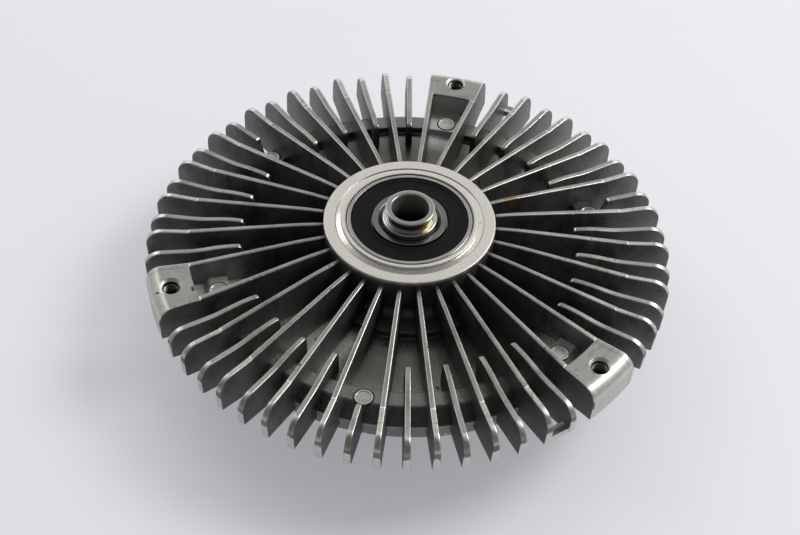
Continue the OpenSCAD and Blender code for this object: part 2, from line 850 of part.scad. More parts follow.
module hub_shaft() {
    journal_r = bearing_bore_r - seat_gap;
    head_d = -shaft_h;
    color("#b3afa7")
        rotate_extrude()
            polygon([
                at(bolt_bore_r, head_d + head_chamfer), at(bolt_bore_r + head_chamfer, head_d),
                at(head_r - head_chamfer, head_d), at(head_r, head_d + head_chamfer),
                at(head_r, head_d + head_t - head_r + neck_r), at(neck_r, head_d + head_t),
                at(neck_r, -shoulder_h - head_chamfer), at(neck_r + head_chamfer, -shoulder_h),
                at(journal_r - head_r + neck_r, -shoulder_h),
                at(journal_r, -shoulder_h + head_r - neck_r),
                at(journal_r, bearing_front_d), at(collar_neck_r, bearing_front_d),
                at(collar_neck_r, bearing_front_d + collar_neck),
                at(collar_r, bearing_front_d + collar_neck), at(collar_r, rotor_hub_d),
                at(shaft_r, rotor_hub_d), at(shaft_r, rotor_front_d),
                at(shaft_r - ring_groove, rotor_front_d),
                at(shaft_r - ring_groove, rotor_front_d + ring_t + lip_gap),
                at(shaft_r, rotor_front_d + ring_t + lip_gap), at(shaft_r, shaft_d - shaft_chamfer),
                at(shaft_r - shaft_chamfer, shaft_d), at(well_r + shaft_chamfer, shaft_d),
                at(well_r, shaft_d - shaft_chamfer), at(well_r, well_d), at(bolt_bore_r, well_d)
            ]);
}

module rotor() {
    in_r = shaft_r + seat_gap;
    step_r = land_in - run_gap;
    web_front_d = web_d + rotor_web_t;
    fluid_circle_r = (rotor_hub_r + land_in) / 2;
    color("#a3a4a2")
        difference() {
            rotate_extrude()
                polygon(concat(
                    [
                        at(in_r, rotor_hub_d), at(rotor_hub_r, rotor_hub_d), at(rotor_hub_r, web_d),
                        at(step_r - land_w, web_d), at(step_r, rotor_base_d)
                    ],
                    [
                        for (k = [0 : land_count - 1])
                            each [
                                at(land_at(k), rotor_base_d), at(land_at(k), rotor_rear_d),
                                at(land_at(k) + land_w, rotor_rear_d),
                                at(land_at(k) + land_w, rotor_base_d)
                            ]
                    ],
                    [
                        at(rotor_r, rotor_base_d), at(rotor_r, rotor_front_d - rotor_chamfer),
                        at(rotor_r - rotor_chamfer, rotor_front_d)
                    ],
                    [
                        for (k = [last_land : -1 : first_front_land])
                            each [
                                at(land_at(k) + land_w, rotor_front_d),
                                at(land_at(k) + land_w, rotor_tip_d),
                                at(land_at(k), rotor_tip_d), at(land_at(k), rotor_front_d)
                            ]
                    ],
                    [
                        at(step_r, rotor_front_d), at(step_r - land_w, web_front_d),
                        at(rotor_hub_r, web_front_d), at(rotor_hub_r, rotor_front_d),
                        at(in_r, rotor_front_d)
                    ]
                ));
            for (i = [0 : fluid_hole_count - 1])
                rotate(i * 360 / fluid_hole_count)
                    translate([fluid_circle_r, 0, land_z - web_front_d - wall])
                        cylinder(r = fluid_hole_r, h = rotor_web_t + 2 * wall);
        }
}

module rotor_retaining_ring() {
    in_r = shaft_r - ring_groove + seat_gap;
    out_r = in_r + ring_w;
    eye_r = in_r + ring_eye_r + lip_gap;
    eye_a = ring_opening / 2;
    color("#4f4f50")
        translate([0, 0, land_z - rotor_front_d - ring_t])
            linear_extrude(height = ring_t)
                difference() {
                    union() {
                        difference() {
                            circle(out_r);
                            circle(in_r);
                            polygon([
                                [0, 0], 2 * out_r * [cos(eye_a), -sin(eye_a)],
                                2 * out_r * [cos(eye_a), sin(eye_a)]
                            ]);
                        }
                        for (s = [-1, 1])
                            rotate(s * eye_a)
                                translate([eye_r, 0])
                                    circle(ring_eye_r);
                    }
                    for (s = [-1, 1])
                        rotate(s * eye_a)
                            translate([eye_r, 0])
                                circle(ring_eye_hole_r);
                }
}

// Half section of the cover, with the groove of its O-ring and the lands of the labyrinth
module cover_section() {
    flange_r = crimp_r - seat_gap;
    groove_in_r = o_ring_circle_r() - o_ring_r - lip_gap;
    groove_d = o_ring_d() - o_ring_r - lip_gap;
    groove_end_d = o_ring_d() + o_ring_r + lip_gap;
    seal_seat_d = cover_face_d + nose_ledge_t;
    corner_d = cover_face_d + cover_wall;
    dome_r = reservoir_r + cover_wall;
    plate_land_r = land_at(first_front_land) - run_gap;
    polygon(concat(
        [
            at(chamber_r, flange_d), at(flange_r, flange_d), at(flange_r, groove_d),
            at(groove_in_r, groove_d), at(groove_in_r, groove_end_d), at(flange_r, groove_end_d),
            at(flange_r, crimp_d), at(cover_r, crimp_d), at(cover_r, rotor_front_d),
            at(chamber_r - cover_corner + cover_wall / 4, corner_d),
            at(dome_r + cover_wall / 2, corner_d), at(dome_r, cover_d),
            at(nose_r, cover_d), at(nose_r, cover_d + nose_rise),
            at(nose_bore_r, cover_d + nose_rise), at(nose_bore_r, seal_seat_d),
            at(nose_bore_r - nose_ledge, seal_seat_d), at(nose_bore_r - nose_ledge, cover_face_d),
            at(nose_r, cover_face_d), at(nose_r, reservoir_d), at(reservoir_r, reservoir_d),
            at(reservoir_r, cover_face_d), at(plate_r + seat_gap, cover_face_d),
            at(plate_r + seat_gap, rotor_front_d + run_gap),
            at(plate_land_r, rotor_front_d + run_gap), at(plate_land_r, cover_face_d)
        ],
        [
            for (k = [first_front_land : 1 : last_land])
                let (in_r = land_at(k) + land_w + run_gap, out_r = land_at(k + 1) - run_gap)
                    each [
                        at(in_r, cover_face_d), at(in_r, rotor_front_d + run_gap),
                        at(out_r, rotor_front_d + run_gap), at(out_r, cover_face_d)
                    ]
        ],
        [
            at(chamber_r - cover_corner, cover_face_d), at(chamber_r, rotor_front_d)
        ]
    ));
}

// Radius and depth of the O-ring's section centre
function o_ring_circle_r() = crimp_r - o_ring_r - lip_gap;
function o_ring_d() = flange_d + cover_flange_t / 2;

// Side outline of a front fin
module front_fin_side() {
    start_r = nose_r + front_fin_start;
    dome_r = reservoir_r + cover_wall;
    end_r = chamber_r - cover_corner - front_fin_end;
    corner_d = cover_face_d + cover_wall;
    polygon([
        at(start_r, cover_d - cover_wall / 2),
        at(start_r + front_fin_h, land_z), at(front_fin_flat_r, land_z),
        at(end_r, corner_d + front_fin_end), at(end_r, corner_d - cover_wall / 2),
        at(dome_r, corner_d - cover_wall / 2), at(dome_r - cover_wall / 2, cover_d - cover_wall / 2)
    ]);
}

module front_cover() {
    color("#8b8c89")
        difference() {
            union() {
                rotate_extrude()
                    cover_section();
                difference() {
                    for (i = [0 : front_fin_count - 1])
                        rotate(i * 360 / front_fin_count)
                            drafted_fin(front_fin_t, cover_d, fin_draft, -1) front_fin_side();
                    strip_window();
                }
                translate([0, -strip_offset, land_z - reservoir_d - eps])
                    cylinder(r = guide_r, h = guide_h + eps);
            }
            translate([0, -strip_offset, land_z - cover_d - front_fin_h])
                cylinder(r = pin_r + pin_fit, h = cover_wall + guide_h + 2 * front_fin_h);
            translate([0, -strip_offset, land_z - cover_d - front_fin_h])
                cylinder(r = pin_seal_pocket_r(), h = front_fin_h + 2 * (pin_seal_r + lip_gap));
            for (s = [-1, 1])
                translate([s * bracket_rivet_x, -strip_offset, land_z - cover_d - front_fin_h])
                    cylinder(r = bracket_rivet_r + seat_gap, h = front_fin_h + cover_wall * 2 / 3);
            plate_rivet_holes(cover_face_d + cover_wall * 2 / 3);
        }
}

// Room for the bimetal strip between the front fins
module strip_window() {
    half_l = bracket_x + bracket_t + bracket_foot + window_room;
    half_w = strip_w / 2 + window_room;
    translate([-half_l, -strip_offset - half_w, land_z - cover_d - 2 * front_fin_h])
        cube([2 * half_l, 2 * half_w, 2 * front_fin_h + cover_wall / 4]);
}

// Holes for the plate rivets, from the rotor's side down to depth d
module plate_rivet_holes(d) {
    for (i = [0 : plate_rivet_count - 1])
        rotate((i + 0.5) * 360 / plate_rivet_count)
            translate([plate_rivet_circle_r, 0, land_z - d])
                cylinder(r = plate_rivet_r + seat_gap, h = d - rotor_front_d);
}

function pin_seal_pocket_r() = pin_r + 2 * pin_seal_r + 3 * lip_gap;

// Ring of round section, at radius r and depth d
module round_ring(r, d, section_r) {
    rotate_extrude()
        translate(at(r, d))
            circle(section_r, $fn = 48);
}

module cover_o_ring() {
    color("#222222")
        round_ring(o_ring_circle_r(), o_ring_d(), o_ring_r);
}

module shaft_seal() {
    out_r = nose_bore_r - seat_gap;
    lip_r = shaft_r + lip_gap;
    rear_d = cover_face_d + nose_ledge_t;
    front_d = rear_d + shaft_seal_w;
    color("#2a2523")
        rotate_extrude()
            polygon([
                at(out_r, rear_d), at(out_r, front_d), at(lip_r + lip_t, front_d),
                at(lip_r, garter_d() + garter_r), at(lip_r, garter_d()),
                at(lip_r + lip_t, rear_d + seal_band),
                at(garter_circle_r() - garter_r / 2, rear_d + seal_band),
                at(shaft_r + lip_t, garter_d()),
                at(lip_r + lip_t + garter_r, front_d - seal_band), at(out_r - seal_band, front_d - seal_band),
                at(out_r - seal_band, rear_d)
            ]);
}

// Radius and depth of the garter spring's section centre
function garter_circle_r() = shaft_r + lip_t + garter_r + 2 * lip_gap;
function garter_d() = cover_face_d + nose_ledge_t + shaft_seal_w / 2;

module garter_spring() {
    color("#9c9c9c")
        round_ring(garter_circle_r(), garter_d(), garter_r);
}

module partition_plate() {
    plate_in_r = nose_bore_r + seat_gap;
    color("#b0a468")
        difference() {
            rotate_extrude()
                translate(at(plate_in_r, cover_face_d))
                    square([plate_r - plate_in_r, plate_t]);
            translate([port_offset, -strip_offset, land_z - cover_face_d - plate_t])
                cylinder(r = port_r, h = 3 * plate_t);
            translate([lever_rivet_x(), -strip_offset, land_z - cover_face_d - plate_t])
                cylinder(r = lever_rivet_r + seat_gap, h = 3 * plate_t);
            plate_rivet_holes(cover_face_d + plate_t);
        }
}

module plate_rivets() {
    color("#c2c2c0")
        for (i = [0 : plate_rivet_count - 1])
            rotate((i + 0.5) * 360 / plate_rivet_count)
                translate([plate_rivet_circle_r, 0, land_z - cover_face_d]) {
                    translate([0, 0, -cover_wall / 2])
                        cylinder(r = plate_rivet_r, h = cover_wall / 2 + plate_t + eps);
                    translate([0, 0, plate_t])
                        cylinder(r = plate_rivet_head_r, h = plate_rivet_h);
                }
}

function lever_rivet_x() = lever_rivet_offset - lever_arm;

// Flat spring with a rolled end that it swings on
module valve_lever() {
    color("#a89b5e")
        translate([0, -strip_offset, land_z - lever_d - lever_t]) {
            linear_extrude(height = lever_t)
                difference() {
                    union() {
                        translate([-lever_arm, -lever_w / 2])
                            square([lever_arm + port_offset, lever_w]);
                        translate([port_offset, 0])
                            circle(lever_w / 2);
                    }
                    translate([lever_rivet_x(), 0])
                        circle(lever_rivet_r + lever_gap);
                }
            translate([-lever_arm, lever_w / 2, lever_t / 2])
                rotate([90, 0, 0])
                    cylinder(r = lever_t / 2, h = lever_w);
        }
}

module lever_rivet() {
    head_d = lever_d + lever_t + lever_rivet_room;
    color("#c2c2c0")
        translate([lever_rivet_x(), -strip_offset, 0]) {
            translate([0, 0, land_z - head_d - eps])
                cylinder(r = lever_rivet_r, h = head_d - cover_face_d + plate_t + 2 * eps);
            translate([0, 0, land_z - head_d - lever_rivet_h])
                cylinder(r = lever_rivet_head_r, h = lever_rivet_h);
            translate([0, 0, land_z - cover_face_d + plate_t])
                cylinder(r = lever_rivet_head_r, h = plate_rivet_h);
        }
}

module control_pin() {
    color("#cfcfcb")
        translate([0, -strip_offset, land_z - strip_d])
            cylinder(r = pin_r, h = strip_d - pin_d);
}

module control_pin_seal() {
    color("#222222")
        translate([0, -strip_offset, 0])
            round_ring(pin_r + pin_seal_r + 2 * lip_gap, cover_d - pin_seal_r - lip_gap, pin_seal_r);
}

module bimetal_strip() {
    color("#9a8d77")
        translate([-strip_l / 2, -strip_offset - strip_w / 2, land_z - strip_end_d])
            cube([strip_l, strip_w, strip_t]);
}

// Bent sheet bracket, drawn for the right end of the strip
module strip_bracket() {
    lip_d = bracket_d + bracket_t;
    foot_x = bracket_x + bracket_t + bracket_foot;
    color("#b4b4b2")
        difference() {
            translate([0, bracket_w / 2 - strip_offset, 0])
                rotate([90, 0, 0])
                    linear_extrude(height = bracket_w)
                        polygon([
                            at(bracket_x, cover_d), at(foot_x, cover_d),
                            at(foot_x, cover_d + bracket_t),
                            at(bracket_x + bracket_t, cover_d + bracket_t),
                            at(bracket_x + bracket_t, lip_d), at(bracket_x - bracket_reach, lip_d),
                            at(bracket_x - bracket_reach, bracket_d), at(bracket_x, bracket_d)
                        ]);
            translate([bracket_rivet_x, -strip_offset, land_z - cover_d - 2 * bracket_t])
                cylinder(r = bracket_rivet_r + seat_gap, h = 3 * bracket_t);
        }
}

module strip_bracket_left() {
    mirror([1, 0, 0])
        strip_bracket();
}

module strip_bracket_right() {
    strip_bracket();
}

module bracket_rivets() {
    color("#c2c2c0")
        for (s = [-1, 1])
            translate([s * bracket_rivet_x, -strip_offset, land_z - cover_d - bracket_t]) {
                translate([0, 0, -eps])
                    cylinder(r = bracket_rivet_r, h = bracket_t + cover_wall / 2);
                translate([0, 0, -bracket_rivet_h])
                    cylinder(r = bracket_rivet_head_r, h = bracket_rivet_h);
            }
}

housing();
bearing_outer_ring();
bearing_inner_ring();
bearing_balls();
bearing_cage();
bearing_rear_seal();
bearing_front_seal();
hub_shaft();
rotor();
rotor_retaining_ring();
front_cover();
cover_o_ring();
shaft_seal();
garter_spring();
partition_plate();
plate_rivets();
valve_lever();
lever_rivet();
control_pin();
control_pin_seal();
bimetal_strip();
strip_bracket_left();
strip_bracket_right();
bracket_rivets();
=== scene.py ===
import json
import math

import bmesh
import bpy
from mathutils import Matrix, Vector


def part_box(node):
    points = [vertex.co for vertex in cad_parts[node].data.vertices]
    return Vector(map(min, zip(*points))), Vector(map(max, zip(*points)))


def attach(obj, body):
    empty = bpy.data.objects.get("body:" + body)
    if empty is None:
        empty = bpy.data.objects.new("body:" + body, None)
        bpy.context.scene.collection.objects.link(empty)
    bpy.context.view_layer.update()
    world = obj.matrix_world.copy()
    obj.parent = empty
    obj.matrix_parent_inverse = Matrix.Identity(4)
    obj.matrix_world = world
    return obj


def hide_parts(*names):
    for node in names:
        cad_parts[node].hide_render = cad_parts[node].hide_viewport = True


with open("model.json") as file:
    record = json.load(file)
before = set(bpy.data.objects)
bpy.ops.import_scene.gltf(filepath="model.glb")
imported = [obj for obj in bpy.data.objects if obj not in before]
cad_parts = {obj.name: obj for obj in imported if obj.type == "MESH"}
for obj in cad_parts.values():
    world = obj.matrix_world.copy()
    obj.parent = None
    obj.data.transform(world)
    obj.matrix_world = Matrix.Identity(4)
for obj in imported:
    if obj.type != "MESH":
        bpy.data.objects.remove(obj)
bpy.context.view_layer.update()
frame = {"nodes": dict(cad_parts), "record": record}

# Housing body
# The rear half of the clutch is one aluminium die casting. Its hub, floor and rim are round,
# and the hub's flange face is turned bright after casting.
MM = 0.001
mounts = {mount["name"]: mount for mount in frame["record"]["mounts"]}
LAND = mounts["fan_seat"]["pos_m"][2]
LAND_IN = 80.0
FIN_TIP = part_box("housing")[1].x / MM
SCREW_CIRCLE = mounts["fan_screws"]["dims"]["pcd_mm"] / 2
SCREW = mounts["fan_screws"]["dims"]["hole_r_mm"]
SCREW_CHAMFER = 0.85
BOSS_ANGLES = [90, 210, 330]
STUB_ANGLES = [30, 150, 270]
PAD_ANGLES = BOSS_ANGLES + STUB_ANGLES
PAD_CIRCLE = 71.1
PAD = 3.3
GROOVE = 0.4

HUB = 31.0
FLANGE_IN = 26.75
FLANGE_TOP = -8.85
STAKE_IN = 22.95
STAKE_OUT = 24.55
STAKE_TOP = -9.85
STAKE_UNDER = -8.68
FOOT = 40.7
FOOT_DEPTH = 6.7
FLOOR = 9.4
RAISED = 6.9
RAISED_IN = 66.9
RAISED_OUT = 73.4
RIM = 78.2
RIM_TOP = 12.0
RIM_DEPTH = 17.2
CRIMP = 75.4
CRIMP_DEPTH = 17.0
CHAMBER = 70.4
CHAMBER_DEPTH = 12.6
COVER_STOP = CHAMBER_DEPTH + 1.6
WALL = 3.2
LAND_WIDTH = 1.5
LAND_PITCH = 3.8
LAND_FIRST = 47.0
LAND_COUNT = 6
LAND_HEIGHT = 4.0
RUN_GAP = 0.4
BEARING = 23.52
BEARING_FRONT = 4.3
SHOULDER = 20.7
SHOULDER_DEPTH = 7.5
CREASE = 40


def at(radius, depth):
    """Point of a half section, at a radius and a depth below the land plane in millimetres."""
    return Vector((radius * MM, 0, LAND - depth * MM))


def round_off(mesh, geom, size, segments, affect="EDGES"):
    """Rounds edges or points of a mesh by a size in millimetres."""
    bmesh.ops.bevel(
        mesh,
        geom=geom,
        affect=affect,
        offset=size * MM,
        segments=segments,
        profile=0.5,
        material=-1,
        clamp_overlap=True,
    )


def outline(mesh, corners):
    """Flat face through corners of (radius, depth, rounding), with the corners rounded."""
    points = [mesh.verts.new(at(radius, depth)) for radius, depth, _ in corners]
    mesh.faces.new(points)
    for rounding in sorted({corner[2] for corner in corners} - {0}):
        chosen = [v for v, corner in zip(points, corners) if corner[2] == rounding]
        round_off(mesh, chosen, rounding, 3 if rounding < 2 else 8, "VERTICES")
    return mesh.faces[:]


def close(mesh, fill=False):
    """Joins points that meet, fills open ends where asked and turns the faces outwards."""
    bmesh.ops.remove_doubles(mesh, verts=mesh.verts[:], dist=1e-7)
    if fill:
        bmesh.ops.holes_fill(mesh, edges=mesh.edges[:])
    bmesh.ops.recalc_face_normals(mesh, faces=mesh.faces[:])


def spin(mesh, angle, steps, **options):
    """Spins the edges of a mesh about the axis."""
    bmesh.ops.spin(
        mesh,
        geom=mesh.edges[:],
        cent=(0, 0, 0),
        axis=(0, 0, 1),
        angle=angle,
        steps=steps,
        **options,
    )


def turned(corners, steps=240):
    """Round solid made by spinning an outline about the axis."""
    mesh = bmesh.new()
    outline(mesh, corners)
    bmesh.ops.delete(mesh, geom=mesh.faces[:], context="FACES_ONLY")
    spin(mesh, math.tau, steps, use_merge=True)
    close(mesh)
    return mesh


def add_copy(target, mesh, angle=0.0):
    """Adds a copy of mesh to target, turned about the axis."""
    holder = bpy.data.meshes.new("holder")
    mesh.to_mesh(holder)
    before = len(target.verts)
    target.from_mesh(holder)
    bpy.data.meshes.remove(holder)
    target.verts.ensure_lookup_table()
    bmesh.ops.rotate(
        target,
        verts=target.verts[before:],
        cent=(0, 0, 0),
        matrix=Matrix.Rotation(math.radians(angle), 3, "Z"),
    )


def piece(name, mesh, material, body, nodes):
    """Object of a finished mesh that rides on a body and stands for CAD nodes."""
    for face in mesh.faces:
        face.smooth = True
    for edge in mesh.edges:
        if len(edge.link_faces) == 2:
            edge.smooth = edge.calc_face_angle() < math.radians(CREASE)
    data = bpy.data.meshes.new(name)
    mesh.to_mesh(data)
    mesh.free()
    made = bpy.data.objects.new(name, data)
    bpy.context.scene.collection.objects.link(made)
    data.materials.append(material)
    evened = made.modifiers.new("even_normals", "WEIGHTED_NORMAL")
    evened.keep_sharp = True
    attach(made, body)
    if nodes:
        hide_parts(*nodes)


class Value:
    """Socket of a material that can be used in sums like a number."""

    def __init__(self, finish, socket):
        self.finish = finish
        self.socket = socket

    def __add__(self, other):
        return self.finish.maths("ADD", self, other)

    def __radd__(self, other):
        return self.finish.maths("ADD", other, self)

    def __sub__(self, other):
        return self.finish.maths("SUBTRACT", self, other)

    def __rsub__(self, other):
        return self.finish.maths("SUBTRACT", other, self)

    def __mul__(self, other):
        return self.finish.maths("MULTIPLY", self, other)

    def __rmul__(self, other):
        return self.finish.maths("MULTIPLY", other, self)

    def __truediv__(self, other):
        return self.finish.maths("DIVIDE", self, other)


class Finish:
    """Procedural material round one principled shader."""

    def __init__(self, name, **constants):
        self.material = bpy.data.materials.new(name)
        self.material.use_nodes = True
        self.tree = self.material.node_tree
        self.shader = self.tree.nodes["Principled BSDF"]
        for socket, value in constants.items():
            self.shader.inputs[socket.replace("_", " ")].default_value = value
        place = self.tree.nodes.new("ShaderNodeTexCoord")
        self.place = Value(self, place.outputs["Object"])
        self.normal = Value(self, place.outputs["Normal"])

    def put(self, socket, value):
        """Gives a socket a link or a fixed value."""
        if isinstance(value, Value):
            self.tree.links.new(value.socket, socket)
        else:
            socket.default_value = value

    def add(self, kind, settings=None, sockets=None, output=0):
        """Node of a kind with its settings and its sockets' values or links."""
        node = self.tree.nodes.new("ShaderNode" + kind)
        for name, value in (settings or {}).items():
            setattr(node, name, value)
        for name, value in (sockets or {}).items():
            self.put(node.inputs[name], value)
        return Value(self, node.outputs[output])

    def maths(self, operation, *values):
        """Result of one sum with values."""
        return self.add("Math", {"operation": operation}, dict(enumerate(values)))

    def most(self, value, *others):
        """The highest of some values."""
        for other in others:
            value = self.maths("MAXIMUM", value, other)
        return value

    def step(self, value, low, high):
        """Smooth rise of a value from 0 at low to 1 at high."""
        return self.add(
            "MapRange",
            {"interpolation_type": "SMOOTHSTEP"},
            {"Value": value, "From Min": low, "From Max": high},
        )

    def band(self, value, low, high, soft):
        """1 between low and high, with soft edges."""
        rise = self.step(value, low - soft, low + soft)
        return rise * (1 - self.step(value, high - soft, high + soft))

    def mix(self, factor, first, second):
        """Colour between two colours."""
        return self.add("Mix", {"data_type": "RGBA"}, {0: factor, 6: first, 7: second}, 2)

    def layers(self, colour, *covers):
        """Colour under covers, each of them a mask and the colour that it brings."""
        for mask, over in covers:
            colour = self.mix(mask, colour, over)
        return colour

    def noise(self, scale, detail=3.0, roughness=0.55, place=None):
        """Cloudy pattern between 0 and 1."""
        place = place or self.place
        sockets = {"Vector": place, "Scale": scale, "Detail": detail, "Roughness": roughness}
        return self.add("TexNoise", None, sockets)

    def vector(self, x, y, z):
        """Place made of three parts."""
        return self.add("CombineXYZ", None, {0: x, 1: y, 2: z})

    def axes(self, vector=None):
        """The three parts of a vector."""
        node = self.tree.nodes.new("ShaderNodeSeparateXYZ")
        self.put(node.inputs[0], vector or self.place)
        return [Value(self, output) for output in node.outputs]

    def polar(self):
        """Radius and depth below the land plane in millimetres."""
        x, y, z = self.axes()
        radius = self.maths("SQRT", x * x + y * y) / MM
        return radius, (LAND - z) / MM

    def turn(self):
        """Angle round the axis."""
        x, y, _ = self.axes()
        return self.maths("ARCTAN2", y, x)

    def nearest(self, turn, angles):
        """Angle to the nearest of some evenly spread angles."""
        apart = math.radians(180 / len(angles))
        return self.maths("PINGPONG", turn - math.radians(angles[0]), apart)

    def reach(self, angle, radius, circle):
        """Distance in millimetres to a place on a circle, seen at an angle from it."""
        side = angle * radius
        away = radius - circle
        return self.maths("SQRT", side * side + away * away)

    def distance(self, place):
        """Distance in metres to a place."""
        sockets = {0: self.place, 1: place}
        return self.add("VectorMath", {"operation": "DISTANCE"}, sockets, "Value")

    def turning_lines(self, pitch):
        """Fine uneven rings, as a lathe tool leaves them."""
        radius, depth = self.polar()
        return self.noise(1.0, 2.0, 0.6, self.vector((radius + depth) / pitch, 0.0, 0.0))

    def rounded(self):
        """Normal that rounds sharp edges a little."""
        return self.add("Bevel", {"samples": 6}, {"Radius": 0.5 * MM})

    def bump(self, height, distance, strength, normal=None):
        """Normal that follows a height, with a distance in millimetres."""
        sockets = {"Height": height, "Distance": distance * MM, "Strength": strength}
        if normal:
            sockets["Normal"] = normal
        return self.add("Bump", None, sockets)

    def use(self, **sockets):
        """Gives the shader its values and returns the material."""
        for name, value in sockets.items():
            self.put(self.shader.inputs[name.replace("_", " ")], value)
        return self.material


STAIN_PLACE = Matrix.Rotation(math.radians(36), 3, "Z") @ at(41, -5.2)
LIT_PATCH_PLACE = Matrix.Rotation(math.radians(-120), 3, "Z") @ at(52, FLOOR)
SKIN_DARK = (0.085, 0.086, 0.084, 1)
SKIN_PALE = (0.29, 0.292, 0.286, 1)
SKIN_DRAGGED = (0.38, 0.385, 0.38, 1)
SKIN_OILY = (0.13, 0.125, 0.105, 1)
SKIN_TIPS_PAINTED_LIGHT = (0.42, 0.42, 0.41, 1)
SKIN_HUB_PAINTED_SHADE = (0.07, 0.07, 0.066, 1)
FLOOR_DARK_AND_SHADE = (0.13, 0.124, 0.106, 1)
FLOOR_PALE = (0.34, 0.33, 0.30, 1)
FLOOR_PAINTED_LIGHT = (0.70, 0.68, 0.62, 1)
SLOPE_PAINTED_SHADE = (0.08, 0.08, 0.075, 1)
WALL_GREY = (0.44, 0.44, 0.43, 1)
POCKET_PAINTED_LIGHT = (0.62, 0.61, 0.575, 1)
METAL_DULL = (0.60, 0.572, 0.508, 1)
METAL_BRIGHT = (0.80, 0.768, 0.688, 1)
METAL_SMEARED = (0.22, 0.21, 0.19, 1)
METAL_TURNED_AND_GLINT = (0.84, 0.82, 0.77, 1)
BOSS_GREY = (0.16, 0.156, 0.145, 1)
HOLE_PAINTED_SHADE = (0.02, 0.019, 0.017, 1)
COUNTERSINK_BRIGHT = (0.88, 0.86, 0.80, 1)
STEP_GLINT_WHITE = (0.90, 0.89, 0.86, 1)
PORE_DARK = (0.035, 0.035, 0.033, 1)
STAIN_BROWN = (0.26, 0.15, 0.045, 1)
SPECK_DULL = (0.40, 0.37, 0.30, 1)
CORNER_PAINTED_SHADE = (0.12, 0.11, 0.09, 1)
CRUMB_WHITE = (0.92, 0.92, 0.90, 1)


